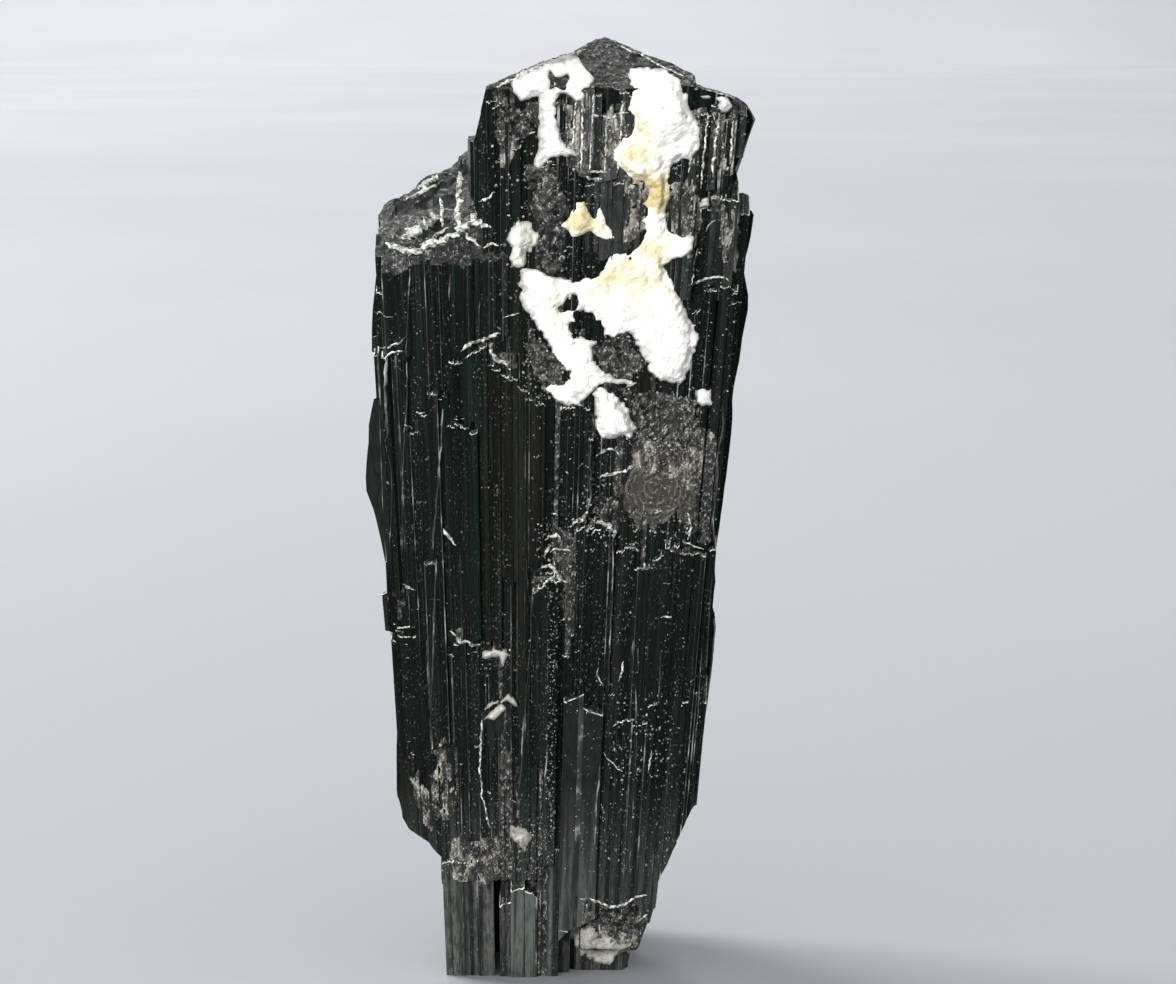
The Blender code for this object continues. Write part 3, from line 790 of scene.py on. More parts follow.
def bowl_surface(x, z):
    """The shell-like break under the crusts: a shallow bowl with ripples round its start, dusted
    along its upper edge."""
    away = np.hypot((x - BOWL_MIDDLE[0]) / BOWL_HALF[0], (z - BOWL_MIDDLE[1]) / BOWL_HALF[1])
    within = 1 - away + 0.12 * layered(x, z, 0.0, 1.2, 41)
    radius = np.hypot(x - BOWL[0], z - BOWL[1])
    ripple = 0.03 * np.sin(12.0 * radius + 1.2 * noise(x, z, 0.0, 1.2, 42)) * np.exp(-radius / 3.0)
    y = -5.55 + 0.3 * (1 - np.clip(away, 0, 1) ** 2) + ripple + 0.04 * layered(x, z, 0.0, 0.5, 43)
    dusty = z + 0.5 * noise(x, z, 0.0, 0.9, 44) > 27.9 + 0.12 * (x - 5.0) ** 2
    return np.where(within > 0, y, CLEAR), np.where(dusty, FILM, BREAK)


def recess_surface(x, z):
    """The hollow low on the front: smooth dark faces set back between two columns."""
    left = -4.15 + 0.06 * (z - 12)
    right = -1.75 + 0.05 * noise(x, z, 0.0, 1.0, 51)
    foot = 8.6 + 0.4 * (x + 3)
    head = 14.9 + 0.5 * noise(x, z, 0.0, 0.9, 52)
    within = (x > left) & (x < right) & (z > foot) & (z < head)
    y = -4.9 - 0.12 * stepped(x + 4.2, 0.45) + 0.01 * noise(x, z, 0.0, 0.5, 53)
    return np.where(within, y, CLEAR), np.full(x.shape, SATIN)


# The undersides of the two overhangs next to the foot, as outlines from X to Z.
LEFT_UNDER_X = [-8.4, -8.15, -7.8, -6.65, -6.2, -5.95]
LEFT_UNDER_Z = [9.8, 8.7, 8.1, 7.6, 7.1, 6.8]
RIGHT_UNDER_X = [3.9, 4.0, 4.35, 4.8, 5.1, 5.4, 5.55, 6.1, 6.4, 6.85, 7.4]
RIGHT_UNDER_Z = [-0.3, 0.4, 1.1, 2.0, 2.8, 4.0, 5.6, 6.7, 7.4, 8.2, 9.4]


def left_under(x, y):
    """The broken underside of the left overhang, low next to the foot and rounded at the edge."""
    z = np.interp(x, LEFT_UNDER_X, LEFT_UNDER_Z)
    return z + 0.25 * (y + 4.0) + 0.22 * layered(x, y, 0.0, 0.9, 54)


def right_under(x, y):
    """The broken underside of the right overhang, which comes down in steps to the foot."""
    z = np.interp(x, RIGHT_UNDER_X, RIGHT_UNDER_Z)
    return z + 0.18 * (y + 4.5) + 0.18 * layered(x, y, 1.0, 0.8, 55)


rng = np.random.default_rng(41)
left_bodies = [body_prism("left", rng, LEFT_OUTLINE, 5.0, 45.5)]
left_bodies += front_ribs(SHOULDER_ROWS, 1, "shoulder")
left_bodies += edge_ribs(LEFT_EDGE_ROWS, LEFT_PROFILE, 8, "left_edge")
left_bodies += edge_ribs(SLIVER_ROWS, SLIVER_PROFILE, 18, "sliver")
left_bodies += edge_ribs(STEP_ROWS, STEP_PROFILE, 19, "left_step")
left_part = combined("left_part", left_bodies, "UNION")
shoulder_cut = slab_above("shoulder_cut", (-11.5, -1.0), (-8.0, 6.0), 0.11, shoulder_surface, 48.0)
left_part = combined("left_part", [left_part, shoulder_cut], "DIFFERENCE")

right_bodies = [body_prism("right", rng, RIGHT_OUTLINE, 4.0, 44.0)]
right_bodies += edge_ribs(RIGHT_EDGE_ROWS, RIGHT_PROFILE, 7, "right_edge")
right_part = combined("right_part", right_bodies, "UNION")
right_cut = slab_above("right_cut", (4.0, 12.0), (-7.0, 6.0), 0.15, right_top_surface, 46.0)
right_part = combined("right_part", [right_part, right_cut], "DIFFERENCE")

bodies = [
    body_prism("main", rng, MAIN_OUTLINE, 6.6, 52.0),
    left_part,
    right_part,
    body_prism("crown", rng, CROWN_OUTLINE, 43.6, 52.0),
]
bodies += edge_ribs(CROWN_EDGE_ROWS, RIGHT_PROFILE, 17, "crown_edge")
for number, (outline, low, high, lean) in enumerate(BACK_PRISMS):
    bodies.append(body_prism(f"back_{number}", rng, outline, low, high, lean=lean))
bodies += front_ribs(LEFT_ROWS, 2, "left_row")
bodies += front_ribs(BROWN_ROWS, 3, "brown")
bodies += front_ribs(CENTRE_ROWS, 4, "centre")
bodies += front_ribs(LOWER_ROWS, 5, "lower")
bodies += front_ribs(TOP_ROWS, 6, "top")
bodies += cover_ribs(9)
bodies += skin_ribs(rng, MAIN_OUTLINE, (5, 6, 7, 8, 9), 3.2, (8.0, 46.0), "main_skin")
bodies += skin_ribs(rng, RIGHT_OUTLINE, (2, 3, 4), 3.2, (9.0, 38.4), "right_skin", (-0.1, 0.15))
bodies += skin_ribs(rng, LEFT_OUTLINE, (5, 6, 7), 3.2, (9.0, 36.5), "left_skin", (-0.1, 0.1))
for number, (outline, low, high, _) in enumerate(BACK_PRISMS):
    z_range, prefix = (low + 1, high - 2.5), f"back_skin_{number}"
    bodies += skin_ribs(rng, outline, (2, 3, 4), 2.4, z_range, prefix, (-0.1, 0.15))
for number, (outline, low, high) in enumerate(FOOT_PRISMS):
    bodies.append(body_prism(f"foot_{number}", rng, outline, low, high))
bodies += front_ribs(FOOT_ROWS, 10, "foot_rib")
crystal_mesh = combined("crystal", bodies, "UNION")

# The foot is cut off level at the height that it stands on.
ground = np.array([[[-20, -20, 0], [-20, 20, 0]], [[20, -20, 0], [20, 20, 0]]], float)
cuts = [
    slab_above("roof_cut", (-8.0, 12.5), (-8.5, 8.5), 0.16, roof_surface, 60.0),
    slab_before("bowl_cut", (2.6, 9.9), (23.0, 31.0), 0.11, bowl_surface),
    slab_before("recess_cut", (-4.8, -1.2), (8.0, 15.8), 0.1, recess_surface),
    field_solid("foot_cut", ground, ground - [0, 0, 9], np.full((1, 1), BREAK)),
    slab_below("left_under_cut", (-12.0, -5.95), (-8.0, 8.0), 0.16, left_under),
    slab_below("right_under_cut", (3.95, 11.0), (-8.0, 8.0), 0.16, right_under),
]
crystal_mesh = combined("cut_crystal", [crystal_mesh] + cuts, "DIFFERENCE")

START, NEAREST_HIT = -20.0, -19.0  # Y that a seat is sought from, and the least one that counts


def seated(x, z, solid):
    """The y of the solid's front at plan points: each point flies along +Y until it lands on it.
    Points that miss get nan."""
    start = fan(np.stack([x, np.zeros(x.shape), z], axis=-1)).reshape(-1, 3)
    start[:, 1] = START
    mesh = bpy.data.meshes.new("seats")
    mesh.from_pydata((start * MM).tolist(), [], [])
    flyer = placed("seats", mesh)
    fall = flyer.modifiers.new("fall", "SHRINKWRAP")
    fall.wrap_method = "PROJECT"
    fall.use_project_y = True
    fall.use_negative_direction = False
    fall.target = solid
    landed = np.empty(len(start) * 3)
    graph = bpy.context.evaluated_depsgraph_get()
    flyer.evaluated_get(graph).data.vertices.foreach_get("co", landed)
    bpy.data.objects.remove(flyer)
    bpy.data.meshes.remove(mesh)
    y = landed[1::3].reshape(x.shape) / MM
    y[y < NEAREST_HIT] = np.nan
    return y / (1 + FAN_RATE * (z - FAN_LEVEL))


def resampled(path, step):
    """Points a step apart along a polyline, and how far along it each one is."""
    path = np.array(path, float)
    reached = np.concatenate([[0], np.cumsum(np.linalg.norm(np.diff(path, axis=0), axis=1))])
    along = np.linspace(0, reached[-1], max(3, round(reached[-1] / step) + 1))
    return np.column_stack([np.interp(along, reached, path[:, k]) for k in (0, 1)]), along


SEAM_RING = [(-0.5, -0.5), (-0.42, 0.25), (-0.1, 1.0), (0.25, 0.8), (0.42, 0.2), (0.5, -0.5)]
SEAM_TAPER = 0.3  # a seam thins over this length at its ends
BEHIND = -3.0  # Y of the seat of a seam's point that missed the crystal


def seams(rows, seed, solid, slot, rise, step=0.14):
    """Raised seams along paths in x and z, each a closed tube. A ring has six points over the
    width, highest off the middle; width and height vary at random and taper to the ends. rise is
    the height as a share of the width."""
    rng = np.random.default_rng(seed)
    profile = np.array(SEAM_RING)
    paths = []
    for width, corners in rows:
        place, along = resampled(corners, step)
        taper = np.clip(np.minimum(along, along[-1] - along) / SEAM_TAPER, 0.3, 1)
        widths = width * taper * rng.uniform(0.6, 1.35, len(place))
        ahead = np.gradient(place, axis=0)
        ahead /= np.linalg.norm(ahead, axis=1)[:, None]
        side = np.column_stack([ahead[:, 1], -ahead[:, 0]])
        place = place + side * (width * 0.3 * rng.uniform(-1, 1, len(place)))[:, None]
        paths.append((place, side, widths))
    edges_and_middle = np.array([[-0.5], [0], [0.5]])
    probes = np.concatenate([
        place[:, None] + side[:, None] * widths[:, None, None] * edges_and_middle
        for place, side, widths in paths
    ])
    seats = np.nan_to_num(seated(probes[..., 0], probes[..., 1], solid), nan=BEHIND).min(axis=1)
    made, first = [], 0
    for number, (place, side, widths) in enumerate(paths):
        seat = seats[first:first + len(place)]
        first += len(place)
        seat[1:-1] = np.median([seat[:-2], seat[1:-1], seat[2:]], axis=0)
        heights = rise * widths * rng.uniform(0.4, 1.3, len(place))
        lift = np.where(profile[:, 1] < 0, profile[:, 1], profile[:, 1] * heights[:, None])
        flat = place[:, None] + side[:, None] * (widths[:, None] * profile[:, 0])[..., None]
        rings = np.stack([flat[..., 0], seat[:, None] - lift, flat[..., 1]], axis=-1)
        made.append(loft(f"seam_{seed}_{number}", rings, slot, [slot, slot], rng.uniform(0, 1)))
    return made


TINY = 1e-12  # keeps a side of no length or height from dividing by nothing


def inside(x, z, outline):
    """Signed distance to a closed outline, positive inside it: the least distance to its sides,
    with the sign from counting the sides that a level ray crosses."""
    outline = np.array(outline, float)
    nearest, odd = np.full(x.shape, 99.0), np.zeros(x.shape, bool)
    for start, end in zip(outline, np.roll(outline, -1, axis=0)):
        run = end - start
        over, up = x - start[0], z - start[1]
        share = np.clip((over * run[0] + up * run[1]) / (run @ run + TINY), 0, 1)
        nearest = np.minimum(nearest, np.hypot(over - share * run[0], up - share * run[1]))
        crosses = (start[1] > z) != (end[1] > z)
        odd ^= crosses & (x < start[0] + up * run[0] / (run[1] if run[1] else TINY))
    return np.where(odd, nearest, -nearest)


GRID_MARGIN = 0.4


def grid_round(outline, step):
    """x and z of a grid that covers an outline with a margin."""
    corners = np.array(outline, float)
    low, high = corners.min(axis=0) - GRID_MARGIN, corners.max(axis=0) + GRID_MARGIN
    return level_grid((low[0], high[0]), (low[1], high[1]), step)


def smoothed(values, passes):
    """Each value averaged with its four neighbours, itself counted twice, several times over."""
    for _ in range(passes):
        padded = np.pad(values, 1, mode="edge")
        beside = padded[:-2, 1:-1] + padded[2:, 1:-1] + padded[1:-1, :-2] + padded[1:-1, 2:]
        values = (beside + 2 * values) / 6
    return values


def whole_cells(keep):
    """The cells of a grid whose four corners are all kept."""
    return keep[:-1, :-1] & keep[1:, 1:] & keep[1:, :-1] & keep[:-1, 1:]


def blanket(name, x, z, near, far, keep, slots, tones):
    """A closed solid over the kept cells of a grid, between two fields y(x, z), near in front. Where
    two kept cells meet at a corner only, a third is kept, so that no edge has four faces."""
    for _ in range(4):
        a, b, c, d = keep[:-1, :-1], keep[1:, 1:], keep[1:, :-1], keep[:-1, 1:]
        c |= a & b & ~c & ~d
        a |= c & d & ~a & ~b
    index, cells = grid_cells(*x.shape)
    cells = cells[keep]
    edges = np.concatenate([np.stack([cells[:, k], cells[:, (k + 1) % 4]], axis=1) for k in range(4)])
    code = edges[:, 0] * index.size + edges[:, 1]
    rim = edges[~np.isin(edges[:, 1] * index.size + edges[:, 0], code)]
    wall = np.stack([rim[:, 1], rim[:, 0], rim[:, 0] + index.size, rim[:, 1] + index.size], axis=1)
    faces = np.concatenate([cells, cells[:, ::-1] + index.size, wall])
    used, faces = np.unique(faces, return_inverse=True)
    points = np.stack([np.stack([x, y, z], axis=-1) for y in (near, far)]).reshape(-1, 3)[used]
    slots, tones = [np.broadcast_to(values, keep.shape)[keep] for values in (slots, tones)]
    slots = np.concatenate([slots, slots, np.full(len(wall), slots[0])])
    tones = np.concatenate([tones, tones, np.full(len(wall), tones[0])])
    return mesh_of(name, fan(points), [faces.reshape(-1, 4)], slots, tones)


GRAIN = 0.3  # the width of a grain in a granular area
PATCH_STEP = 0.14  # between the points of its grid
PATCH_DEPTH = 0.9  # how deep a granular area's solid is set into the crystal
PATCH_MISSED = -4.0  # Y of a seat that missed the crystal, which is dropped later


def granular_patches(outlines, seed, solid):
    """Rough granular areas: the crystal's own front, followed at close range and roughened by
    grains a few tenths of a millimetre wide, some of them standing proud."""
    made = []
    for number, (height, slot, outline) in enumerate(outlines):
        x, z = grid_round(outline, PATCH_STEP)
        depth = inside(x, z, outline) + 0.22 * layered(x, z, 0.0, 0.9, seed + number)
        seat = seated(x, z, solid)
        missed = np.isnan(seat)
        seat = smoothed(np.where(missed, PATCH_MISSED, seat), 1)
        away, size = grains(x, z, GRAIN, seed + number)
        rough = 0.5 * noise(x, z, 0.0, 0.4, seed + 1) + 0.4 * noise(x, z, 0.0, 0.17, seed)
        lumps = height * (0.3 * (1 - away) + 0.45 * size + rough)
        near = seat - np.where(depth > 0, lumps, 3.0 * depth)
        keep = whole_cells((depth > -0.12) & ~missed)
        far = seat + PATCH_DEPTH
        made.append(blanket(f"granular_{number}", x, z, near, far, keep, slot, size[:-1, :-1]))
    return made


# The seams that stand out pale on the front, by width, in plan millimetres: worn ledges at the ends of
# columns and veins over the shoulder, pale from chips and painted paler as highlights, and thin
# lines along the columns' edges, painted pale as highlights.
LEDGES = [
    (0.14, [(6.2, 46.0), (6.1, 43.2)]),
    (0.12, [(6.8, 46.2), (6.7, 42.4)]),
    (0.16, [(7.3, 46.2), (7.2, 43.0)]),
    (0.12, [(8.0, 45.8), (8.0, 43.6)]),
    (0.14, [(1.1, 47.2), (1.1, 43.2)]),
    (0.1, [(1.6, 47.2), (1.5, 43.2)]),
    (0.12, [(0.8, 46.9), (0.7, 44.4)]),
    (0.1, [(2.2, 46.0), (2.2, 43.0)]),
    (0.14, [(2.9, 46.8), (2.8, 43.2)]),
    (0.2, [(1.9, 46.1), (2.4, 46.0), (2.8, 46.1)]),
    (0.22, [(1.2, 43.0), (1.8, 42.9), (2.2, 42.9)]),
    (0.2, [(-2.8, 47.5), (-1.8, 48.0), (-0.8, 48.5), (0.3, 48.9), (1.2, 49.3)]),
    (0.1, [(2.6, 49.5), (3.6, 49.1), (4.6, 48.5), (5.6, 48.0)]),
    (0.08, [(-8.8, 35.9), (-8.7, 36.1), (-8.5, 35.9), (-8.3, 35.8), (-8.0, 35.8)]),
    (0.13, [(-8.9, 34.1), (-8.3, 34.2), (-8.1, 34.4), (-7.7, 34.5), (-7.4, 34.8)]),
    (0.1, [(-8.5, 33.6), (-8.4, 33.8), (-8.1, 34.0), (-7.4, 34.1)]),
    (0.21, [(-4.7, 34.1), (-4.4, 34.3), (-4.1, 34.5), (-3.7, 34.6), (-3.2, 34.8), (-2.7, 35.0)]),
    (0.21, [(-3.2, 34.4), (-3.2, 34.0), (-3.0, 33.7), (-2.6, 33.5), (-2.2, 33.1)]),
    (0.1, [(-2.6, 35.8), (-2.2, 35.9), (-1.8, 36.0)]),
    (0.1, [(-7.3, 30.9), (-6.8, 30.8), (-6.5, 30.9)]),
    (0.16, [(-7.7, 30.2), (-7.3, 30.0)]),
    (0.1, [(-5.1, 30.5), (-4.5, 30.5)]),
    (0.21, [(-5.9, 24.7), (-5.5, 24.1), (-5.2, 23.8)]),
    (0.16, [(-8.3, 21.7), (-7.6, 21.4)]),
    (0.1, [(-9.0, 19.3), (-8.4, 19.3), (-7.7, 19.4)]),
    (0.1, [(-8.9, 19.0), (-8.6, 18.8), (-7.8, 18.8)]),
    (0.16, [(-5.7, 19.2), (-5.4, 18.9), (-5.2, 18.5), (-4.7, 18.6), (-4.3, 18.4), (-4.0, 18.4)]),
    (0.13, [(-4.0, 14.3), (-4.1, 12.6), (-4.2, 11.6), (-4.1, 10.8), (-4.1, 10.1), (-3.9, 9.5),
        (-3.8, 8.9), (-3.6, 8.3)]),
    (0.26, [(1.0, 24.8), (1.3, 25.1), (1.7, 25.2), (1.8, 25.5), (1.9, 25.7)]),
    (0.18, [(2.0, 25.3), (2.5, 25.1), (2.9, 25.0), (3.2, 24.9), (3.4, 24.6), (3.3, 24.1)]),
    (0.1, [(2.1, 24.4), (2.3, 24.7), (2.6, 24.7), (2.9, 24.7)]),
    (0.21, [(-0.4, 24.1), (0.0, 24.3), (0.3, 24.4), (0.5, 24.1)]),
    (0.21, [(-0.4, 23.1), (-0.3, 23.5), (-0.1, 23.8)]),
    (0.16, [(-0.1, 23.4), (0.2, 23.6), (0.6, 23.6), (1.0, 23.5)]),
    (0.16, [(0.1, 23.0), (0.2, 22.5)]),
    (0.21, [(-0.7, 22.5), (-0.3, 22.7), (0.0, 22.7), (0.3, 22.4), (0.5, 22.0), (0.9, 21.8)]),
    (0.13, [(-0.4, 21.7), (-0.2, 22.0), (0.0, 22.1), (0.4, 22.1)]),
    (0.18, [(2.5, 27.4), (2.8, 27.6), (3.1, 27.6), (3.5, 27.7), (4.0, 27.9), (4.5, 28.1)]),
    (0.13, [(2.3, 28.6), (2.5, 28.7), (2.8, 28.9), (3.1, 28.9), (3.4, 28.7), (3.5, 28.6)]),
    (0.16, [(5.5, 25.5), (5.9, 25.6)]),
    (0.1, [(7.1, 24.0), (7.5, 23.9), (7.9, 23.7), (8.3, 23.6)]),
    (0.16, [(7.3, 25.5), (7.5, 24.8), (7.4, 24.1)]),
    (0.21, [(6.2, 20.0), (6.4, 20.0), (6.8, 20.0)]),
    (0.1, [(6.2, 21.8), (6.6, 21.8)]),
    (0.13, [(4.2, 17.6), (4.2, 17.2), (4.1, 16.8), (4.0, 16.5)]),
    (0.16, [(3.3, 16.3), (3.7, 16.3)]),
    (0.1, [(2.8, 17.3), (2.7, 16.9), (2.9, 16.6), (3.1, 16.3)]),
    (0.16, [(2.2, 4.5), (2.6, 4.5)]),
    (0.16, [(2.8, 4.5), (3.5, 4.2), (4.0, 4.0), (4.8, 4.0), (5.3, 4.2), (5.8, 4.5), (6.1, 4.6),
        (6.5, 4.6)]),
    (0.1, [(0.9, 2.7), (1.5, 2.6), (1.9, 2.4)]),
    (0.1, [(5.9, 2.9), (6.5, 3.3), (6.8, 3.5)]),
    (0.16, [(-2.2, 44.8), (-1.7, 45.0), (-1.4, 45.1), (-1.0, 45.3)]),
    (0.16, [(1.2, 43.2), (1.8, 43.3), (2.3, 43.2)]),
    (0.16, [(1.4, 46.0), (1.9, 46.1), (2.4, 46.1)]),
    (0.16, [(2.5, 46.0), (2.9, 46.2), (3.2, 46.2)]),
    (0.13, [(6.5, 37.4), (6.9, 37.6), (7.3, 37.8), (8.0, 37.9), (8.4, 37.7)]),
    (0.1, [(6.8, 39.3), (6.7, 38.7), (6.6, 37.5)]),
    (0.1, [(7.1, 40.2), (7.2, 40.5), (7.5, 40.8)]),
    (0.08, [(8.6, 26.5), (9.0, 26.5)]),
    (0.1, [(7.0, 46.2), (7.2, 45.6)]),
    (0.1, [(-1.4, 42.4), (-0.9, 42.6), (-0.6, 42.7)]),
    (0.16, [(8.6, 36.9), (8.9, 37.0)]),
    (0.1, [(8.5, 36.4), (8.9, 36.5)]),
    (0.13, [(6.1, 11.6), (6.1, 12.1), (6.2, 12.7)]),
    (0.1, [(3.3, 12.6), (3.5, 12.3), (3.8, 12.1), (4.2, 11.7), (4.5, 11.6)]),
]
VEINS = [
    (0.32, [(-8.3, 39.4), (-7.9, 39.3), (-7.4, 39.2), (-6.9, 39.1), (-6.5, 39.2), (-6.0, 39.5),
        (-5.6, 39.6), (-5.1, 39.9), (-4.7, 40.0), (-4.5, 40.2), (-4.3, 40.4), (-4.1, 40.5),
        (-3.7, 40.6), (-3.4, 40.5), (-3.1, 40.4)]),
    (0.19, [(-4.5, 40.2), (-4.3, 39.9), (-4.0, 39.7), (-3.6, 39.4)]),
    (0.19, [(-3.5, 39.4), (-3.3, 39.5), (-3.0, 39.6), (-2.6, 39.5)]),
    (0.62, [(-7.4, 39.7), (-6.8, 40.2), (-6.3, 40.5), (-5.6, 40.8)]),
    (0.19, [(-6.6, 39.5), (-6.0, 39.7), (-5.3, 40.2), (-5.2, 40.3)]),
    (0.19, [(-5.7, 41.8), (-5.5, 40.3)]),
    (0.32, [(-6.8, 42.0), (-6.2, 42.5), (-5.4, 42.8)]),
    (0.19, [(-7.4, 41.5), (-6.2, 42.1), (-5.6, 42.4)]),
    (0.32, [(-4.8, 42.9), (-4.7, 40.0)]),
    (0.19, [(-3.7, 41.6), (-3.3, 41.9), (-2.9, 42.2)]),
    (0.32, [(-3.8, 41.1), (-4.2, 40.5)]),
]
# Raised lines along the columns' edges, painted pale as highlights.
LINES = [
    (0.13, [(1.9, 29.3), (2.0, 27.4), (2.0, 26.2), (1.9, 25.7)]),
    (0.08, [(3.3, 24.1), (3.4, 23.1), (3.4, 20.9), (3.4, 18.7), (3.4, 15.5)]),
    (0.1, [(-1.0, 21.4), (-1.1, 20.4), (-1.1, 18.7), (-1.3, 16.6), (-1.4, 15.5), (-1.4, 13.3)]),
    (0.08, [(-1.5, 14.6), (-1.6, 13.3), (-1.6, 11.9), (-1.8, 10.5), (-1.9, 9.4)]),
    (0.18, [(-8.4, 33.7), (-8.6, 31.5), (-8.6, 29.5)]),
    (0.08, [(-8.6, 29.4), (-8.3, 28.9), (-8.2, 28.9)]),
    (0.08, [(-8.8, 29.4), (-8.5, 28.1), (-8.5, 27.3), (-8.6, 25.7), (-8.8, 24.1), (-8.9, 23.1)]),
    (0.08, [(-7.0, 39.0), (-7.2, 36.7), (-7.4, 34.1), (-7.5, 31.5), (-7.7, 29.9), (-7.9, 27.8),
        (-8.2, 23.1)]),
    (0.08, [(-5.1, 38.1), (-5.2, 36.7)]),
    (0.08, [(-4.0, 37.2), (-4.0, 36.2)]),
    (0.08, [(-3.7, 36.7), (-3.8, 34.6)]),
    (0.1, [(-5.7, 31.0), (-5.8, 29.4), (-6.0, 27.8), (-6.1, 26.8), (-6.3, 25.2), (-6.5, 23.6)]),
    (0.1, [(-6.3, 23.1), (-6.5, 20.9), (-6.9, 15.5), (-7.1, 13.0)]),
    (0.08, [(-6.8, 20.9), (-6.2, 20.9)]),
    (0.08, [(1.3, 47.2), (1.4, 43.6)]),
    (0.08, [(1.4, 47.4), (1.5, 43.3)]),
    (0.06, [(1.6, 47.2), (1.6, 43.8)]),
    (0.08, [(7.3, 46.0), (7.5, 42.3)]),
    (0.13, [(8.6, 31.5), (8.8, 29.9), (8.6, 28.9), (8.7, 27.3), (8.7, 25.7), (8.6, 24.7)]),
    (0.11, [(-0.1, 13.0), (-0.1, 12.2), (-0.2, 11.1), (-0.2, 10.2), (-0.5, 9.3)]),
    (0.09, [(3.1, 12.1), (3.1, 11.1), (3.0, 9.9), (3.0, 8.8), (3.0, 7.2)]),
    (0.08, [(8.6, 25.5), (8.8, 24.4), (8.9, 23.6)]),
    (0.06, [(9.0, 18.7), (9.1, 15.5), (9.1, 11.1)]),
    (0.06, [(8.7, 18.2), (8.8, 14.9), (8.8, 11.1)]),
    (0.06, [(8.9, 22.2), (8.9, 20.9), (9.0, 18.7)]),
    (0.08, [(6.3, 18.2), (6.4, 16.6), (6.4, 15.2)]),
    (0.08, [(5.0, 18.3), (5.1, 17.0)]),
    (0.08, [(5.0, 16.3), (5.1, 15.4), (5.1, 14.3)]),
    (0.08, [(-5.6, 6.0), (-5.8, 0.3)]),
    (0.08, [(-0.4, 6.0), (-0.4, 4.3), (-0.2, 0.9)]),
    (0.06, [(2.5, 5.0), (2.6, 4.5)]),
    (0.08, [(4.0, 3.9), (4.1, 3.2)]),
    (0.1, [(-3.2, 4.0), (-3.2, 0.5)]),
    (0.08, [(5.4, 21.4), (5.4, 20.9)]),
    (0.08, [(7.0, 23.4), (7.1, 22.8)]),
    (0.06, [(-1.4, 23.1), (-1.3, 21.4)]),
    (0.06, [(1.0, 23.1), (1.1, 21.4)]),
    (0.1, [(4.8, 10.5), (4.9, 9.9), (4.9, 9.1)]),
    (0.06, [(1.4, 10.5), (1.4, 9.1)]),
    (0.08, [(4.7, 18.7), (4.7, 17.9)]),
]
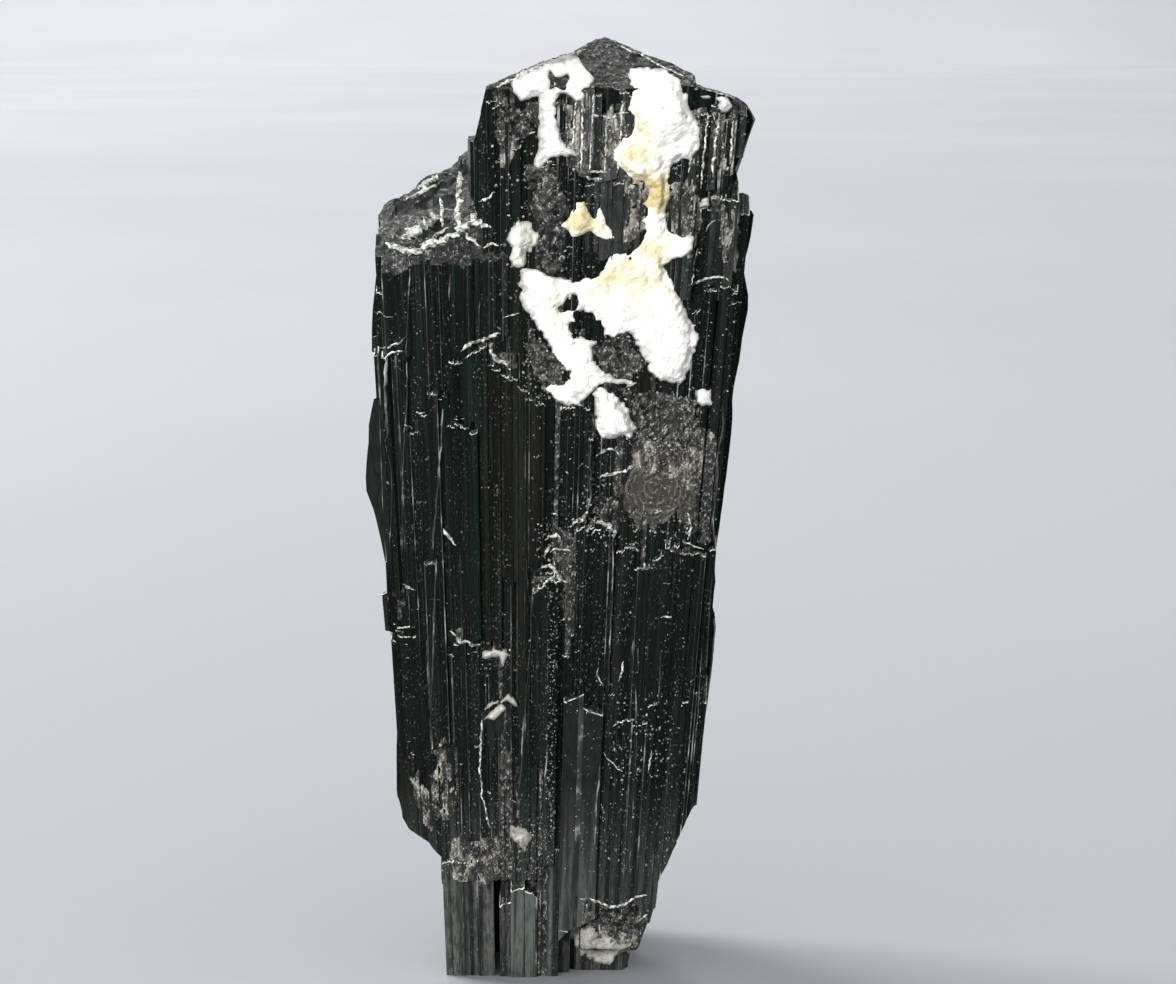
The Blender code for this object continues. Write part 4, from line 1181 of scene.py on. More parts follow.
# Granular areas: height of the grains, finish, outline.
GRANULAR = [
    (0.05, FILM, [(-2.9, 46.9), (-2.3, 47.2), (-1.9, 44.2), (-2.3, 43.0), (-2.9, 43.4)]),
    (0.06, FILM, [(0.2, 46.7), (0.9, 46.5), (1.0, 44.6), (0.5, 44.9)]),
    (0.05, FILM, [(5.3, 42.6), (6.4, 43.0), (6.9, 41.0), (6.5, 38.5), (5.6, 39.8)]),
    (0.05, FILM, [(3.2, 43.0), (4.4, 42.6), (4.1, 40.4), (3.4, 39.2), (2.9, 40.0), (3.2, 41.4)]),
    (0.14, GRIT, [(-3.0, 34.1), (-1.9, 34.1), (-1.9, 33.1), (-2.7, 33.3)]),
    (0.12, GRIT, [(-8.9, 21.1), (-8.3, 21.5), (-7.9, 20.6), (-8.3, 19.8), (-8.9, 19.4)]),
    (0.08, FILM, [(-6.9, 12.6), (-6.2, 13.4), (-5.7, 11.8), (-5.6, 9.3), (-6.4, 8.4), (-7.2, 9.2)]),
    (0.08, FILM, [(-8.5, 11.0), (-7.8, 11.7), (-7.4, 10.0), (-7.0, 7.8), (-7.9, 8.3), (-8.3, 9.5)]),
    (0.16, GRIT, [(2.0, 25.4), (3.2, 25.0), (3.2, 26.2), (2.5, 26.8), (2.1, 26.2)]),
    (0.14, FILM, [(4.5, 29.1), (6.0, 29.1), (7.2, 28.8), (7.2, 27.3), (5.7, 27.4), (4.6, 27.8)]),
    (0.16, GRIT, [(2.8, 32.3), (4.4, 32.1), (5.8, 31.9), (7.4, 31.5), (7.7, 28.9), (4.5, 29.1),
        (4.2, 30.2), (3.8, 31.3)]),
    (0.14, GRIT, [(7.2, 25.5), (8.5, 25.4), (8.8, 23.8), (7.7, 23.8)]),
    (0.16, GRIT, [(2.6, 4.3), (4.0, 3.8), (6.1, 4.3), (6.8, 3.5), (6.3, 2.2), (3.6, 2.5), (2.6, 3.2)]),
    (0.12, FILM, [(-6.1, 7.6), (-3.0, 7.8), (-3.0, 4.9), (-6.1, 5.4)]),
    (0.18, GRIT, [(1.8, 34.1), (2.6, 34.6), (3.2, 35.1), (3.8, 34.8), (4.4, 34.0), (4.6, 33.6),
        (4.3, 32.8), (3.4, 32.6), (2.5, 33.0), (2.2, 33.4)]),
    (0.18, GRIT, [(-1.5, 34.5), (-0.7, 34.6), (-0.1, 34.0), (0.3, 33.3), (0.3, 32.1), (-0.3, 31.8),
        (-0.8, 32.0), (-1.1, 33.0)]),
    (0.16, GRIT, [(-2.4, 46.0), (-2.1, 46.9), (-0.8, 46.6), (-0.8, 45.9), (-1.4, 44.9), (-2.3, 44.9)]),
    (0.16, GRIT, [(-1.7, 43.6), (0.1, 43.6), (0.5, 40.8), (0.2, 37.7), (-1.2, 38.7), (-0.8, 40.3),
        (-1.3, 41.6)]),
    (0.16, GRIT, [(-0.2, 24.0), (0.4, 24.5), (1.0, 24.2), (0.8, 23.4), (0.1, 23.2)]),
    (0.14, GRIT, [(-1.2, 22.2), (0.1, 22.5), (0.5, 22.0), (-0.7, 21.7)]),
    (0.06, FILM, [(4.2, 29.4), (6.2, 29.8), (7.5, 29.3), (7.9, 27.9), (7.3, 26.7), (6.8, 27.3),
        (5.9, 28.1), (4.6, 28.4)]),
    (0.05, FILM, [(0.5, 47.0), (1.3, 47.2), (1.5, 45.0), (1.2, 43.0), (0.4, 43.4)]),
    (0.05, FILM, [(2.1, 46.6), (3.2, 47.0), (3.1, 44.5), (2.6, 43.0), (1.9, 43.4)]),
    (0.05, FILM, [(6.0, 46.4), (6.8, 46.6), (6.6, 43.5), (6.2, 42.8)]),
    (0.05, FILM, [(7.1, 46.3), (7.6, 46.2), (7.8, 43.2), (7.2, 43.0)]),
    (0.05, FILM, [(8.1, 41.6), (8.6, 41.4), (8.8, 38.2), (8.3, 37.8)]),
    (0.06, FILM, [(2.2, 3.4), (6.2, 3.4), (6.3, 1.4), (4.8, 0.6), (2.4, 1.2)]),
    (0.08, FILM, [(7.2, 42.0), (8.0, 41.8), (8.7, 39.6), (8.8, 38.0), (8.0, 38.9), (7.6, 40.4)]),
]

blank = placed("blank", crystal_mesh)
# Ledges and veins take the pale rim with its painted highlight, lines the painted highlight lines.
details = seams(LEDGES, 201, blank, EDGE, 0.55) + seams(VEINS, 202, blank, EDGE, 0.3)
details += seams(LINES, 203, blank, HIGHLIGHT_LINE, 0.35, step=0.4)
details += granular_patches(GRANULAR, 204, blank)
bpy.data.objects.remove(blank)
crystal_mesh = combined("tourmaline_crystal_body", [crystal_mesh] + details, "UNION")


def node_of(tree, kind, *wires, **settings):
    """A shader node with its settings, and its inputs given as (input, value or socket) pairs."""
    made = tree.nodes.new(kind)
    for key, value in settings.items():
        setattr(made, key, value)
    for key, value in wires:
        if isinstance(value, bpy.types.NodeSocket):
            tree.links.new(value, made.inputs[key])
        else:
            made.inputs[key].default_value = value
    return made


def math_of(tree, operation, a, b=0.0, c=0.0):
    """The result of a Math node on up to three numbers or sockets."""
    wires = ((0, a), (1, b), (2, c))
    return node_of(tree, "ShaderNodeMath", *wires, operation=operation).outputs[0]


def ramp_of(tree, factor, stops):
    """A colour ramp whose stops are (place, colour); a single number stands for a grey."""
    ramp = node_of(tree, "ShaderNodeValToRGB", (0, factor))
    elements = ramp.color_ramp.elements
    while len(elements) < len(stops):
        elements.new(0.5)
    for element, (place, colour) in zip(elements, stops):
        element.position = place
        element.color = (*colour, 1) if isinstance(colour, tuple) else (colour, colour, colour, 1)
    return ramp.outputs["Color"]


def mixed_colour(tree, factor, under, over):
    """The under colour with the over colour on it, by the factor. Either is a socket or a colour."""
    colours = [(*colour, 1) if isinstance(colour, tuple) else colour for colour in (under, over)]
    wires = ((0, factor), (6, colours[0]), (7, colours[1]))
    return node_of(tree, "ShaderNodeMix", *wires, data_type="RGBA").outputs[2]


def veiled(tree, under, over, pattern, stops):
    """The under colour with the over colour on it where a ramp of the pattern is bright."""
    return mixed_colour(tree, ramp_of(tree, pattern, stops), under, over)


def new_material(name, roughness, ior, level=0.5):
    """A material with its tree and its shader; level is the strength of its gloss."""
    material = bpy.data.materials.new(name)
    material.use_nodes = True
    tree = material.node_tree
    shader = tree.nodes["Principled BSDF"]
    shader.inputs["Roughness"].default_value = roughness
    shader.inputs["IOR"].default_value = ior
    shader.inputs["Specular IOR Level"].default_value = level
    return material, tree, shader


def wired(tree, shader, colour, relief, strength, depth, rough=None):
    """Joins a finish to its shader: its colour, a bump depth mm deep from the relief pattern and,
    where rough gives (gain, least), the roughness gain * relief + least."""
    tree.links.new(colour, shader.inputs["Base Color"])
    if rough:
        tree.links.new(math_of(tree, "MULTIPLY_ADD", relief, *rough), shader.inputs["Roughness"])
    wires = (("Height", relief), ("Strength", strength), ("Distance", depth * MM))
    bump = node_of(tree, "ShaderNodeBump", *wires)
    tree.links.new(bump.outputs[0], shader.inputs["Normal"])


def tone_of(tree):
    """The number that each face carries."""
    return node_of(tree, "ShaderNodeAttribute", attribute_name="tone").outputs["Fac"]


def speckles(tree, scale, detail):
    """Noise on Object coordinates, with scale cells to a metre."""
    place = node_of(tree, "ShaderNodeTexCoord").outputs["Object"]
    wires = (("Vector", place), ("Scale", scale), ("Detail", detail))
    return node_of(tree, "ShaderNodeTexNoise", *wires).outputs["Fac"]


def fan_coordinates(tree):
    """Object coordinates in millimetres, with x and y brought to their plan values on the fan; x
    is counted from the fan's axis."""
    place = node_of(tree, "ShaderNodeTexCoord").outputs["Object"]
    parts = node_of(tree, "ShaderNodeSeparateXYZ", (0, place)).outputs
    per_metre = 1 / MM
    scale = math_of(tree, "MULTIPLY_ADD", parts[2], per_metre * FAN_RATE, 1 - FAN_RATE * FAN_LEVEL)
    from_axis = math_of(tree, "MULTIPLY_ADD", parts[0], per_metre, -FAN_AXIS)
    x = math_of(tree, "DIVIDE", from_axis, scale)
    y = math_of(tree, "DIVIDE", math_of(tree, "MULTIPLY", parts[1], per_metre), scale)
    z = math_of(tree, "MULTIPLY", parts[2], per_metre)
    return x, y, z


def streaks(tree, fan_xyz, across, along, detail=3.0):
    """Noise drawn out along the columns: across cells a millimetre sideways, along cells upwards."""
    x, y, z = fan_xyz
    wires = (
        (0, math_of(tree, "MULTIPLY", x, across)),
        (1, math_of(tree, "MULTIPLY", y, across)),
        (2, math_of(tree, "MULTIPLY", z, along)),
    )
    place = node_of(tree, "ShaderNodeCombineXYZ", *wires).outputs[0]
    wires = (("Vector", place), ("Scale", 1.0), ("Detail", detail), ("Roughness", 0.6))
    return node_of(tree, "ShaderNodeTexNoise", *wires).outputs["Fac"]


# The colours of the tourmaline's glass, by a column's tone; the grey and the palest are painted
# reflections of pale surroundings.
TONE_COLOURS = [
    (BLACK, (0.0035, 0.0056, 0.0048)),
    (BROWN, (0.008, 0.0064, 0.0046)),
    (GREEN, (0.0038, 0.0098, 0.0078)),
    (SHEEN_GREY, (0.04, 0.047, 0.043)),
    (SHEEN_PALE, (0.085, 0.092, 0.084)),
]
# The colour of the painted reflection of the pale ground, which the glass takes towards its foot.
FOOT_REFLECTION_COLOUR = (0.097, 0.106, 0.098)
REFLECTION_FULL, REFLECTION_END = 2.0, 11.0  # heights up to which the painted reflection is full, and where it ends
REFLECTION_RAMP = 20.0  # the height that the painted reflection's ramp runs over


def foot_reflection(tree, place, base, share):
    """The glass is painted greyer towards the foot: a painted reflection of the pale ground below it.
    """
    height = math_of(tree, "MULTIPLY", place[2], 1 / REFLECTION_RAMP)
    stops = [(REFLECTION_FULL / REFLECTION_RAMP, share), (REFLECTION_END / REFLECTION_RAMP, 0.0)]
    return veiled(tree, base, FOOT_REFLECTION_COLOUR, height, stops)


def prism_finish():
    """Striated column faces: near-black glass in wider dark and light bands, partly the glass's own
    zoning and partly painted groove shade and painted highlight, painted greyer towards the foot as a
    reflection, mottled, with fine lines along the columns in relief, some of them painted paler as
    highlights, and clouds of tiny specks."""
    material, tree, shader = new_material("tourmaline_prism", 0.2, 1.63, 0.075)
    shader.inputs["Specular Tint"].default_value = (0.55, 0.95, 0.8, 1)
    place = fan_coordinates(tree)
    wide = streaks(tree, place, 1.6, 0.1)
    bands = streaks(tree, place, 2.3, 0.04, 2.0)
    mottle = streaks(tree, place, 5.0, 1.6, 4.0)
    fine = streaks(tree, place, 11.0, 0.22)
    thin = streaks(tree, place, 17.0, 0.12, 2.0)
    dust = streaks(tree, place, 9.0, 7.0, 6.0)
    where = streaks(tree, place, 1.1, 0.35, 2.0)
    base = ramp_of(tree, tone_of(tree), TONE_COLOURS)
    base = veiled(tree, base, (0.007, 0.0064, 0.0056), wide, [(0.35, 0.0), (0.7, 0.55)])
    # Painted reflection: greyer towards the foot.
    base = foot_reflection(tree, place, base, 0.62)
    # Dark and light bands: partly the glass's own zoning, partly painted groove shade and painted
    # highlight.
    base = veiled(tree, base, (0.0016, 0.0016, 0.0015), bands, [(0.38, 0.8), (0.5, 0.2), (0.55, 0.0)])
    base = veiled(tree, base, (0.022, 0.022, 0.019), bands, [(0.56, 0.0), (0.68, 0.5)])
    base = veiled(tree, base, (0.005, 0.006, 0.0055), mottle, [(0.4, 0.55), (0.56, 0.0)])
    # Thin pale lines: painted highlights along the columns.
    base = veiled(tree, base, (0.026, 0.032, 0.029), thin, [(0.6, 0.0), (0.66, 0.5), (0.72, 0.0)])
    specks = ramp_of(tree, dust, [(0.6, 0.0), (0.7, 1.0)])
    clouds = ramp_of(tree, where, [(0.42, 0.05), (0.62, 0.8)])
    base = mixed_colour(tree, math_of(tree, "MULTIPLY", specks, clouds), base, (0.26, 0.25, 0.235))
    wired(tree, shader, base, fine, 0.35, 0.06, rough=(0.22, 0.08))
    return material


def rim_highlight_finish():
    """Worn ends and edges of columns, where fine chips turn the glass pale, painted paler still as a
    highlight of the light that the ledges catch.
    """
    material, tree, shader = new_material("tourmaline_rim_highlight", 0.45, 1.6, 0.4)
    chips = streaks(tree, fan_coordinates(tree), 4.0, 5.0, 5.0)
    stops = [(0.36, 0.02), (0.47, (0.28, 0.29, 0.26)), (0.6, (0.78, 0.8, 0.71))]
    wired(tree, shader, ramp_of(tree, chips, stops), chips, 0.6, 0.1)
    return material


def highlight_line_finish():
    """Painted highlights: thin silvery lines along the columns, brighter and fainter by turns."""
    material, tree, shader = new_material("tourmaline_highlight_line", 0.35, 1.6, 0.35)
    turns = streaks(tree, fan_coordinates(tree), 0.8, 0.45, 4.0)
    stops = [(0.42, 0.008), (0.56, 0.04), (0.7, (0.4, 0.42, 0.39))]
    wired(tree, shader, ramp_of(tree, turns, stops), turns, 0.4, 0.06, rough=(0.3, 0.2))
    return material


def speckle(tree, place, cell, dark, middle, pale, cover):
    """A granular colour: dark, with grey grains and pale crumbs over a share of it, and soft
    clouds a fifth as bright as the crumbs."""
    grit = streaks(tree, place, cell, cell * 0.8, 5.0)
    fine = streaks(tree, place, cell * 2.3, cell * 1.7, 3.0)
    cloud = streaks(tree, place, 0.9, 0.7, 3.0)
    haze = tuple(0.22 * part for part in pale)
    colour = ramp_of(tree, grit, [(0.4, dark), (0.56, middle)])
    colour = veiled(tree, colour, haze, cloud, [(0.45, 0.0), (0.65, 0.4)])
    coarse_share = ramp_of(tree, grit, [(0.5 - cover, 0.0), (0.62 - cover, 1.0)])
    fine_share = ramp_of(tree, fine, [(0.46, 0.0), (0.6, 1.0)])
    share = math_of(tree, "MULTIPLY", coarse_share, fine_share)
    return mixed_colour(tree, share, colour, pale), grit


def break_finish():
    """Broken and unfinished surfaces: dark grey, glinting, with pale crumbs in places. Wavering, broken
    arcs, painted highlights on the break's ripples, run round the bowl's middle, a third of a
    millimetre apart at most; they and a paler ground fade out away from it."""
    material, tree, shader = new_material("tourmaline_break", 0.4, 1.6, 0.15)
    place = fan_coordinates(tree)
    colour, grit = speckle(tree, place, 4.8, 0.005, 0.014, (0.28, 0.3, 0.265), -0.01)
    wide = math_of(tree, "SUBTRACT", place[0], BOWL[0] - FAN_AXIS)
    tall = math_of(tree, "SUBTRACT", place[2], BOWL[1])
    squares = math_of(tree, "MULTIPLY_ADD", wide, wide, math_of(tree, "MULTIPLY", tall, tall))
    away = math_of(tree, "SQRT", squares)
    wobble = math_of(tree, "MULTIPLY", streaks(tree, place, 1.0, 1.0, 3.0), 15.0)
    waves = math_of(tree, "SINE", math_of(tree, "MULTIPLY_ADD", away, 22.0, wobble))
    fading = [(0.05, 0.75), (0.36, 0.65), (0.5, 0.0)]
    near = ramp_of(tree, math_of(tree, "MULTIPLY", away, 0.2), fading)
    arcs = math_of(tree, "MULTIPLY", near, ramp_of(tree, waves, [(0.25, 0.0), (0.95, 1.0)]))
    gaps = ramp_of(tree, streaks(tree, place, 1.7, 1.3, 2.0), [(0.42, 0.0), (0.56, 1.0)])
    arcs = math_of(tree, "MULTIPLY", arcs, gaps)
    colour = mixed_colour(tree, near, colour, (0.046, 0.043, 0.033))
    # The pale arcs are painted highlights on the ripples.
    colour = mixed_colour(tree, math_of(tree, "MULTIPLY", arcs, grit), colour, (0.3, 0.29, 0.22))
    wired(tree, shader, colour, grit, 0.8, 0.22, rough=(0.5, 0.12))
    return material


def grit_finish():
    """Granular areas: grey and whitish grains with dark ones between them."""
    material, tree, shader = new_material("tourmaline_grit", 0.5, 1.6, 0.15)
    place = fan_coordinates(tree)
    colour, grit = speckle(tree, place, 4.2, 0.005, 0.028, (0.34, 0.345, 0.305), 0.0)
    wired(tree, shader, colour, grit, 0.8, 0.18, rough=(0.5, 0.2))
    return material


def film_finish():
    """A dusty film in drifts over dark glass, beige-grey, with pale crumbs in it."""
    material, tree, shader = new_material("tourmaline_film", 0.5, 1.6, 0.2)
    place = fan_coordinates(tree)
    drifts = streaks(tree, place, 2.0, 0.8, 5.0)
    fine = streaks(tree, place, 9.0, 6.0, 4.0)
    stops = [(0.38, 0.008), (0.5, (0.04, 0.038, 0.032)), (0.64, (0.26, 0.245, 0.2))]
    colour = ramp_of(tree, drifts, stops)
    both = math_of(tree, "MULTIPLY_ADD", drifts, 0.5, fine)
    colour = veiled(tree, colour, (0.5, 0.48, 0.41), both, [(0.8, 0.0), (0.92, 0.9)])
    wired(tree, shader, colour, fine, 0.6, 0.12, rough=(0.5, 0.2))
    return material


def satin_finish():
    """The few smooth columns: greyer, with a faint frost, painted greyer still towards the foot as a
    reflection of the pale ground, with soft dark bands and mottling and hardly any relief."""
    material, tree, shader = new_material("tourmaline_satin", 0.3, 1.6, 0.12)
    place = fan_coordinates(tree)
    frost = streaks(tree, place, 3.0, 1.2, 5.0)
    bands = streaks(tree, place, 3.4, 0.12, 4.0)
    mottle = streaks(tree, place, 5.0, 1.6, 4.0)
    base = ramp_of(tree, tone_of(tree), TONE_COLOURS)
    base = veiled(tree, base, (0.02, 0.022, 0.02), frost, [(0.4, 0.0), (0.7, 0.5)])
    # Painted reflection: greyer towards the foot.
    base = foot_reflection(tree, place, base, 0.9)
    base = veiled(tree, base, (0.006, 0.008, 0.0075), bands, [(0.4, 0.75), (0.56, 0.0)])
    base = veiled(tree, base, (0.012, 0.014, 0.013), mottle, [(0.36, 0.5), (0.52, 0.0)])
    wired(tree, shader, base, frost, 0.3, 0.06, rough=(0.5, 0.1))
    return material


FINISH_OF_SLOT = {
    PRISM: prism_finish, EDGE: rim_highlight_finish, BREAK: break_finish, SATIN: satin_finish,
    HIGHLIGHT_LINE: highlight_line_finish, GRIT: grit_finish, FILM: film_finish,
}
for slot, finish in FINISH_OF_SLOT.items():
    crystal_mesh.materials[slot] = finish()
crystal = placed("tourmaline_body", crystal_mesh)
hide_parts("tourmaline_crystal")
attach(crystal, "root")


# ----------------------------------------------------------
# The feldspar: white crusts and nuggets that grew on the crystal's front after it, of soft
# rounded lumps with a granular skin, stained cream in places. Each is a blanket of uneven
# thickness laid on the crystal's own front.


def without_islands(mesh, least):
    """Drops the loose bits of a mesh with fewer than the least number of corners: each corner takes
    the lowest number among its neighbours' until nothing changes, which numbers the bits."""
    ends = np.empty(len(mesh.edges) * 2, np.int32)
    mesh.edges.foreach_get("vertices", ends)
    ends = ends.reshape(-1, 2)
    label = np.arange(len(mesh.vertices))
    while True:
        lowest = label.copy()
        np.minimum.at(lowest, ends[:, 0], label[ends[:, 1]])
        np.minimum.at(lowest, ends[:, 1], label[ends[:, 0]])
        lowest = lowest[lowest]
        if (lowest == label).all():
            break
        label = lowest
    sizes = np.bincount(label, minlength=len(label))[label]
    shape = bmesh.new()
    shape.from_mesh(mesh)
    shape.verts.ensure_lookup_table()
    small = [shape.verts[k] for k in np.flatnonzero(sizes < least)]
    bmesh.ops.delete(shape, geom=small, context="VERTS")
    shape.to_mesh(mesh)
    shape.free()


CRUST_STEP = 0.075  # between the points of a crust's grid
LEAST_CORNERS = 24  # a loose bit of crust with fewer corners is dropped
CRUST_DEPTH = 1.3  # how deep a crust's solid is set in before the crystal is taken away from it
EDGE_ROUND = 0.15  # how far in from its edge a crust has risen by two thirds of its rim
LUMP = 0.36  # the width of the lumps on a crust's skin
CLEAN = 0.3  # the tone of clean white feldspar


def crust(name, nodes, outline, domes, seed, holes=(), stains=(), rim=0.22, ragged=0.16,
          patchy=0.0, finish=None, grey=0.25):
    """A crust inside an outline with holes. From the crystal's front it rises by
    rim * (1 - exp(-d / EDGE_ROUND)), with d the distance in from the edge, then to domes
    t * (1 - r^2)^0.6 where r < 1, given as (x, z, half width, half height, t), plus lumps and noise
    on the skin. Outside the edge it dives below the crystal's front, and the crystal is taken away
    from it. ragged wavers the edge and patchy opens gaps. Stains (x, z, radius, strength) are soft.
    The tone is CLEAN plus up to 0.7 for a stain, less up to CLEAN where the crust is thin or, by
    the share grey, cloudy."""
    x, z = grid_round(outline, CRUST_STEP)
    depth = inside(x, z, outline)
    for hole in holes:
        depth = np.minimum(depth, -inside(x, z, hole))
    depth = depth + ragged * layered(x, z, 0.0, 0.8, seed)
    depth = depth + 0.6 * ragged * noise(x, z, 0.0, 0.2, seed + 3)
    depth = depth - patchy * np.maximum(0, layered(x, z, 0.0, 0.6, seed + 4) + 0.1)
    thick = rim * (1 - np.exp(-np.maximum(depth, 0) / EDGE_ROUND))
    for cx, cz, rx, rz, t in domes:
        crown = np.clip(1 - (((x - cx) / rx) ** 2 + ((z - cz) / rz) ** 2), 0, 1)
        dome = t * crown**0.6 * np.clip(depth / 0.4, 0, 1)
        thick = np.maximum(thick, dome) + 0.12 * t * crown
    away, number = grains(x, z, LUMP, seed + 5)
    skin = 0.04 * (0.6 - away) + 0.06 * (number - 0.5) + 0.05 * layered(x, z, 1.0, 0.3, seed + 7)
    skin = skin + 0.08 * layered(x, z, 2.0, 1.1, seed + 9)
    thick = thick + skin * np.clip(depth / 0.2, 0, 1)
    seat = seated(x, z, crystal)
    missed = np.isnan(seat)
    seat = smoothed(np.where(missed, np.nanmean(seat), seat), 12)
    near = seat - np.where(depth > 0, thick, 2.5 * depth)
    keep = whole_cells((depth > -0.28) & ~missed)
    stain = np.zeros(x.shape)
    for cx, cz, radius, strength in stains:
        soft = 1 - np.hypot(x - cx, z - cz) / radius + 0.3 * layered(x, z, 3.0, 0.7, seed + 11)
        stain = np.maximum(stain, strength * np.clip(soft, 0, 1))
    clouds = np.clip(2.5 * layered(x, z, 5.0, 0.8, seed + 13) - 0.6, 0, 1)
    thin = np.maximum(np.clip(1 - thick / 0.26, 0, 1), grey * clouds) * (1 - stain)
    tone = CLEAN + (1 - CLEAN) * stain - CLEAN * np.clip(thin, 0, 1)
    mesh = blanket(name, x, z, near, seat + CRUST_DEPTH, keep, 0, tone[:-1, :-1])
    mesh = combined(name, [mesh, crystal.data.copy()], "DIFFERENCE")
    without_islands(mesh, LEAST_CORNERS)
    mesh.materials.clear()
    mesh.materials.append(finish or feldspar)
    mesh.polygons.foreach_set("material_index", np.zeros(len(mesh.polygons), np.int32))
    made = placed(name, mesh)
    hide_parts(*nodes)
    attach(made, "root")
    return made


CREAM, YELLOW = (0.86, 0.83, 0.65), (0.56, 0.46, 0.23)  # a middling stain and a strong one


def feldspar_finish(name, light, dark, pit):
    """Feldspar between a light and a dark white, matt and granular. A tone over CLEAN turns it
    cream and then yellow-brown, one under it glassy and grey; pit colours the gaps between grains."""
    material, tree, shader = new_material(name, 0.6, 1.53)
    cloud = speckles(tree, 700.0, 4.0)
    grain = speckles(tree, 5000.0, 4.0)
    tone = tone_of(tree)
    glassy, greyish = [tuple(share * part for part in light) for share in (0.3, 0.75)]
    stops = [(0.0, glassy), (0.2, greyish), (CLEAN, light), (0.58, CREAM), (1.0, YELLOW)]
    stained = ramp_of(tree, tone, stops)
    white = ramp_of(tree, cloud, [(0.35, dark), (0.6, light)])
    colour = veiled(tree, white, stained, tone, [(0.15, 1.0), (CLEAN, 0.0), (0.475, 1.0)])
    colour = veiled(tree, colour, pit, grain, [(0.32, 0.6), (0.42, 0.0)])
    wired(tree, shader, colour, grain, 0.6, 0.1)
    return material


feldspar = feldspar_finish(
    "white_feldspar", light=(0.92, 0.91, 0.88), dark=(0.82, 0.8, 0.74), pit=(0.48, 0.44, 0.37)
)
dusty_feldspar = feldspar_finish(
    "dusty_feldspar", light=(0.5, 0.48, 0.42), dark=(0.22, 0.21, 0.18), pit=(0.06, 0.06, 0.05)
)
grey_feldspar = feldspar_finish(
    "grey_feldspar", light=(0.66, 0.65, 0.57), dark=(0.5, 0.49, 0.43), pit=(0.3, 0.28, 0.23)
)
# Outlines of the crusts and of their holes, in plan millimetres.
CAP = [
    (-2.1, 47.7), (-1.7, 48.0), (-1.3, 48.2), (-0.8, 48.5), (-0.5, 48.9), (-0.1, 49.0), (0.2, 49.1),
    (0.5, 49.1), (0.8, 48.9), (1.0, 48.6), (1.2, 48.3), (1.5, 47.9), (1.4, 47.5), (1.1, 47.4),
    (1.2, 47.0), (1.1, 46.7), (0.8, 46.8), (0.6, 47.0), (0.3, 47.2), (0.0, 47.1), (-0.1, 46.6),
    (-0.1, 46.1), (0.0, 45.4), (0.2, 44.9), (0.4, 44.5), (0.8, 44.3), (1.0, 44.1), (0.9, 44.0),
    (0.1, 44.0), (-0.3, 43.9), (-0.7, 43.5), (-1.0, 43.3), (-1.1, 43.9), (-0.9, 44.4), (-0.9, 45.1),
    (-0.9, 45.9), (-0.9, 46.8), (-0.8, 47.1), (-1.3, 46.9), (-1.7, 46.8), (-2.0, 47.3),
]
CAP_HOLE_1 = [(-0.4, 48.2), (-0.2, 47.9), (-0.2, 47.4), (-0.4, 47.4)]
CAP_HOLE_2 = [
    (-0.2, 47.9), (0.1, 47.9), (0.4, 48.1), (0.5, 47.9), (0.3, 47.3), (0.2, 47.4), (-0.1, 47.5),
]
MAIN = [
    (3.3, 48.3), (3.6, 48.4), (4.3, 48.4), (4.9, 48.2), (5.3, 47.9), (5.6, 47.4), (5.9, 46.9),
    (6.0, 46.1), (6.3, 45.6), (6.4, 44.9), (6.3, 44.4), (6.1, 44.0), (5.6, 43.8), (5.3, 43.5),
    (5.1, 43.1), (5.3, 42.5), (5.3, 41.9), (5.1, 41.4), (5.1, 40.7), (5.4, 40.1), (5.6, 39.9),
    (6.0, 39.8), (6.2, 39.9), (6.4, 40.1), (6.6, 39.8), (6.6, 39.3), (6.4, 39.1), (5.9, 38.9),
    (5.6, 38.7), (5.3, 38.4), (5.4, 37.8), (5.7, 37.3), (6.1, 36.8), (6.3, 36.4), (6.6, 35.8),
    (6.8, 35.2), (7.0, 34.7), (7.0, 34.2), (6.8, 33.1), (6.5, 32.5), (6.0, 32.3), (5.3, 32.5),
    (4.8, 33.0), (4.5, 33.7), (4.2, 34.3), (3.9, 34.9), (3.5, 35.1), (2.8, 34.8), (2.3, 34.6),
    (1.9, 34.2), (2.0, 33.4), (2.2, 33.0), (2.9, 32.7), (3.8, 32.6), (4.0, 32.3), (3.1, 32.3),
    (2.3, 32.3), (2.0, 32.0), (1.8, 31.8), (1.3, 31.5), (1.2, 31.2), (0.6, 31.3), (0.1, 31.3),
    (-0.1, 31.8), (-0.4, 32.1), (-0.1, 32.3), (0.4, 32.2), (0.9, 32.6), (0.9, 33.0), (0.4, 33.3),
    (0.1, 33.6), (-0.1, 34.1), (-0.5, 34.7), (-0.8, 35.2), (-1.2, 35.8), (-1.6, 36.2), (-1.7, 36.8),
    (-1.8, 37.5), (-1.7, 38.4), (-1.2, 38.5), (-0.8, 38.3), (-0.3, 38.0), (0.2, 37.8), (0.8, 37.6),
    (1.2, 37.7), (1.7, 37.8), (2.1, 37.9), (2.3, 38.4), (2.5, 38.8), (2.9, 39.0), (3.3, 39.0),
    (3.6, 38.7), (3.9, 39.3), (4.1, 39.6), (4.2, 40.1), (4.2, 40.6), (4.3, 41.1), (4.3, 41.9),
    (4.4, 42.4), (3.9, 42.7), (3.5, 42.7), (3.1, 43.0), (2.8, 43.5), (2.7, 44.4), (2.9, 44.9),
    (3.4, 45.1), (3.4, 45.9), (3.3, 46.9), (3.4, 47.6), (3.3, 48.1),
]
MAIN_HOLE_1 = [
    (1.0, 36.0), (1.4, 36.1), (1.8, 35.9), (2.2, 35.6), (2.3, 34.9), (2.1, 34.7), (1.6, 34.8),
    (1.3, 35.0), (1.1, 34.8), (0.9, 34.4), (0.8, 34.8), (0.6, 35.2), (0.7, 35.6), (1.0, 35.6),
]
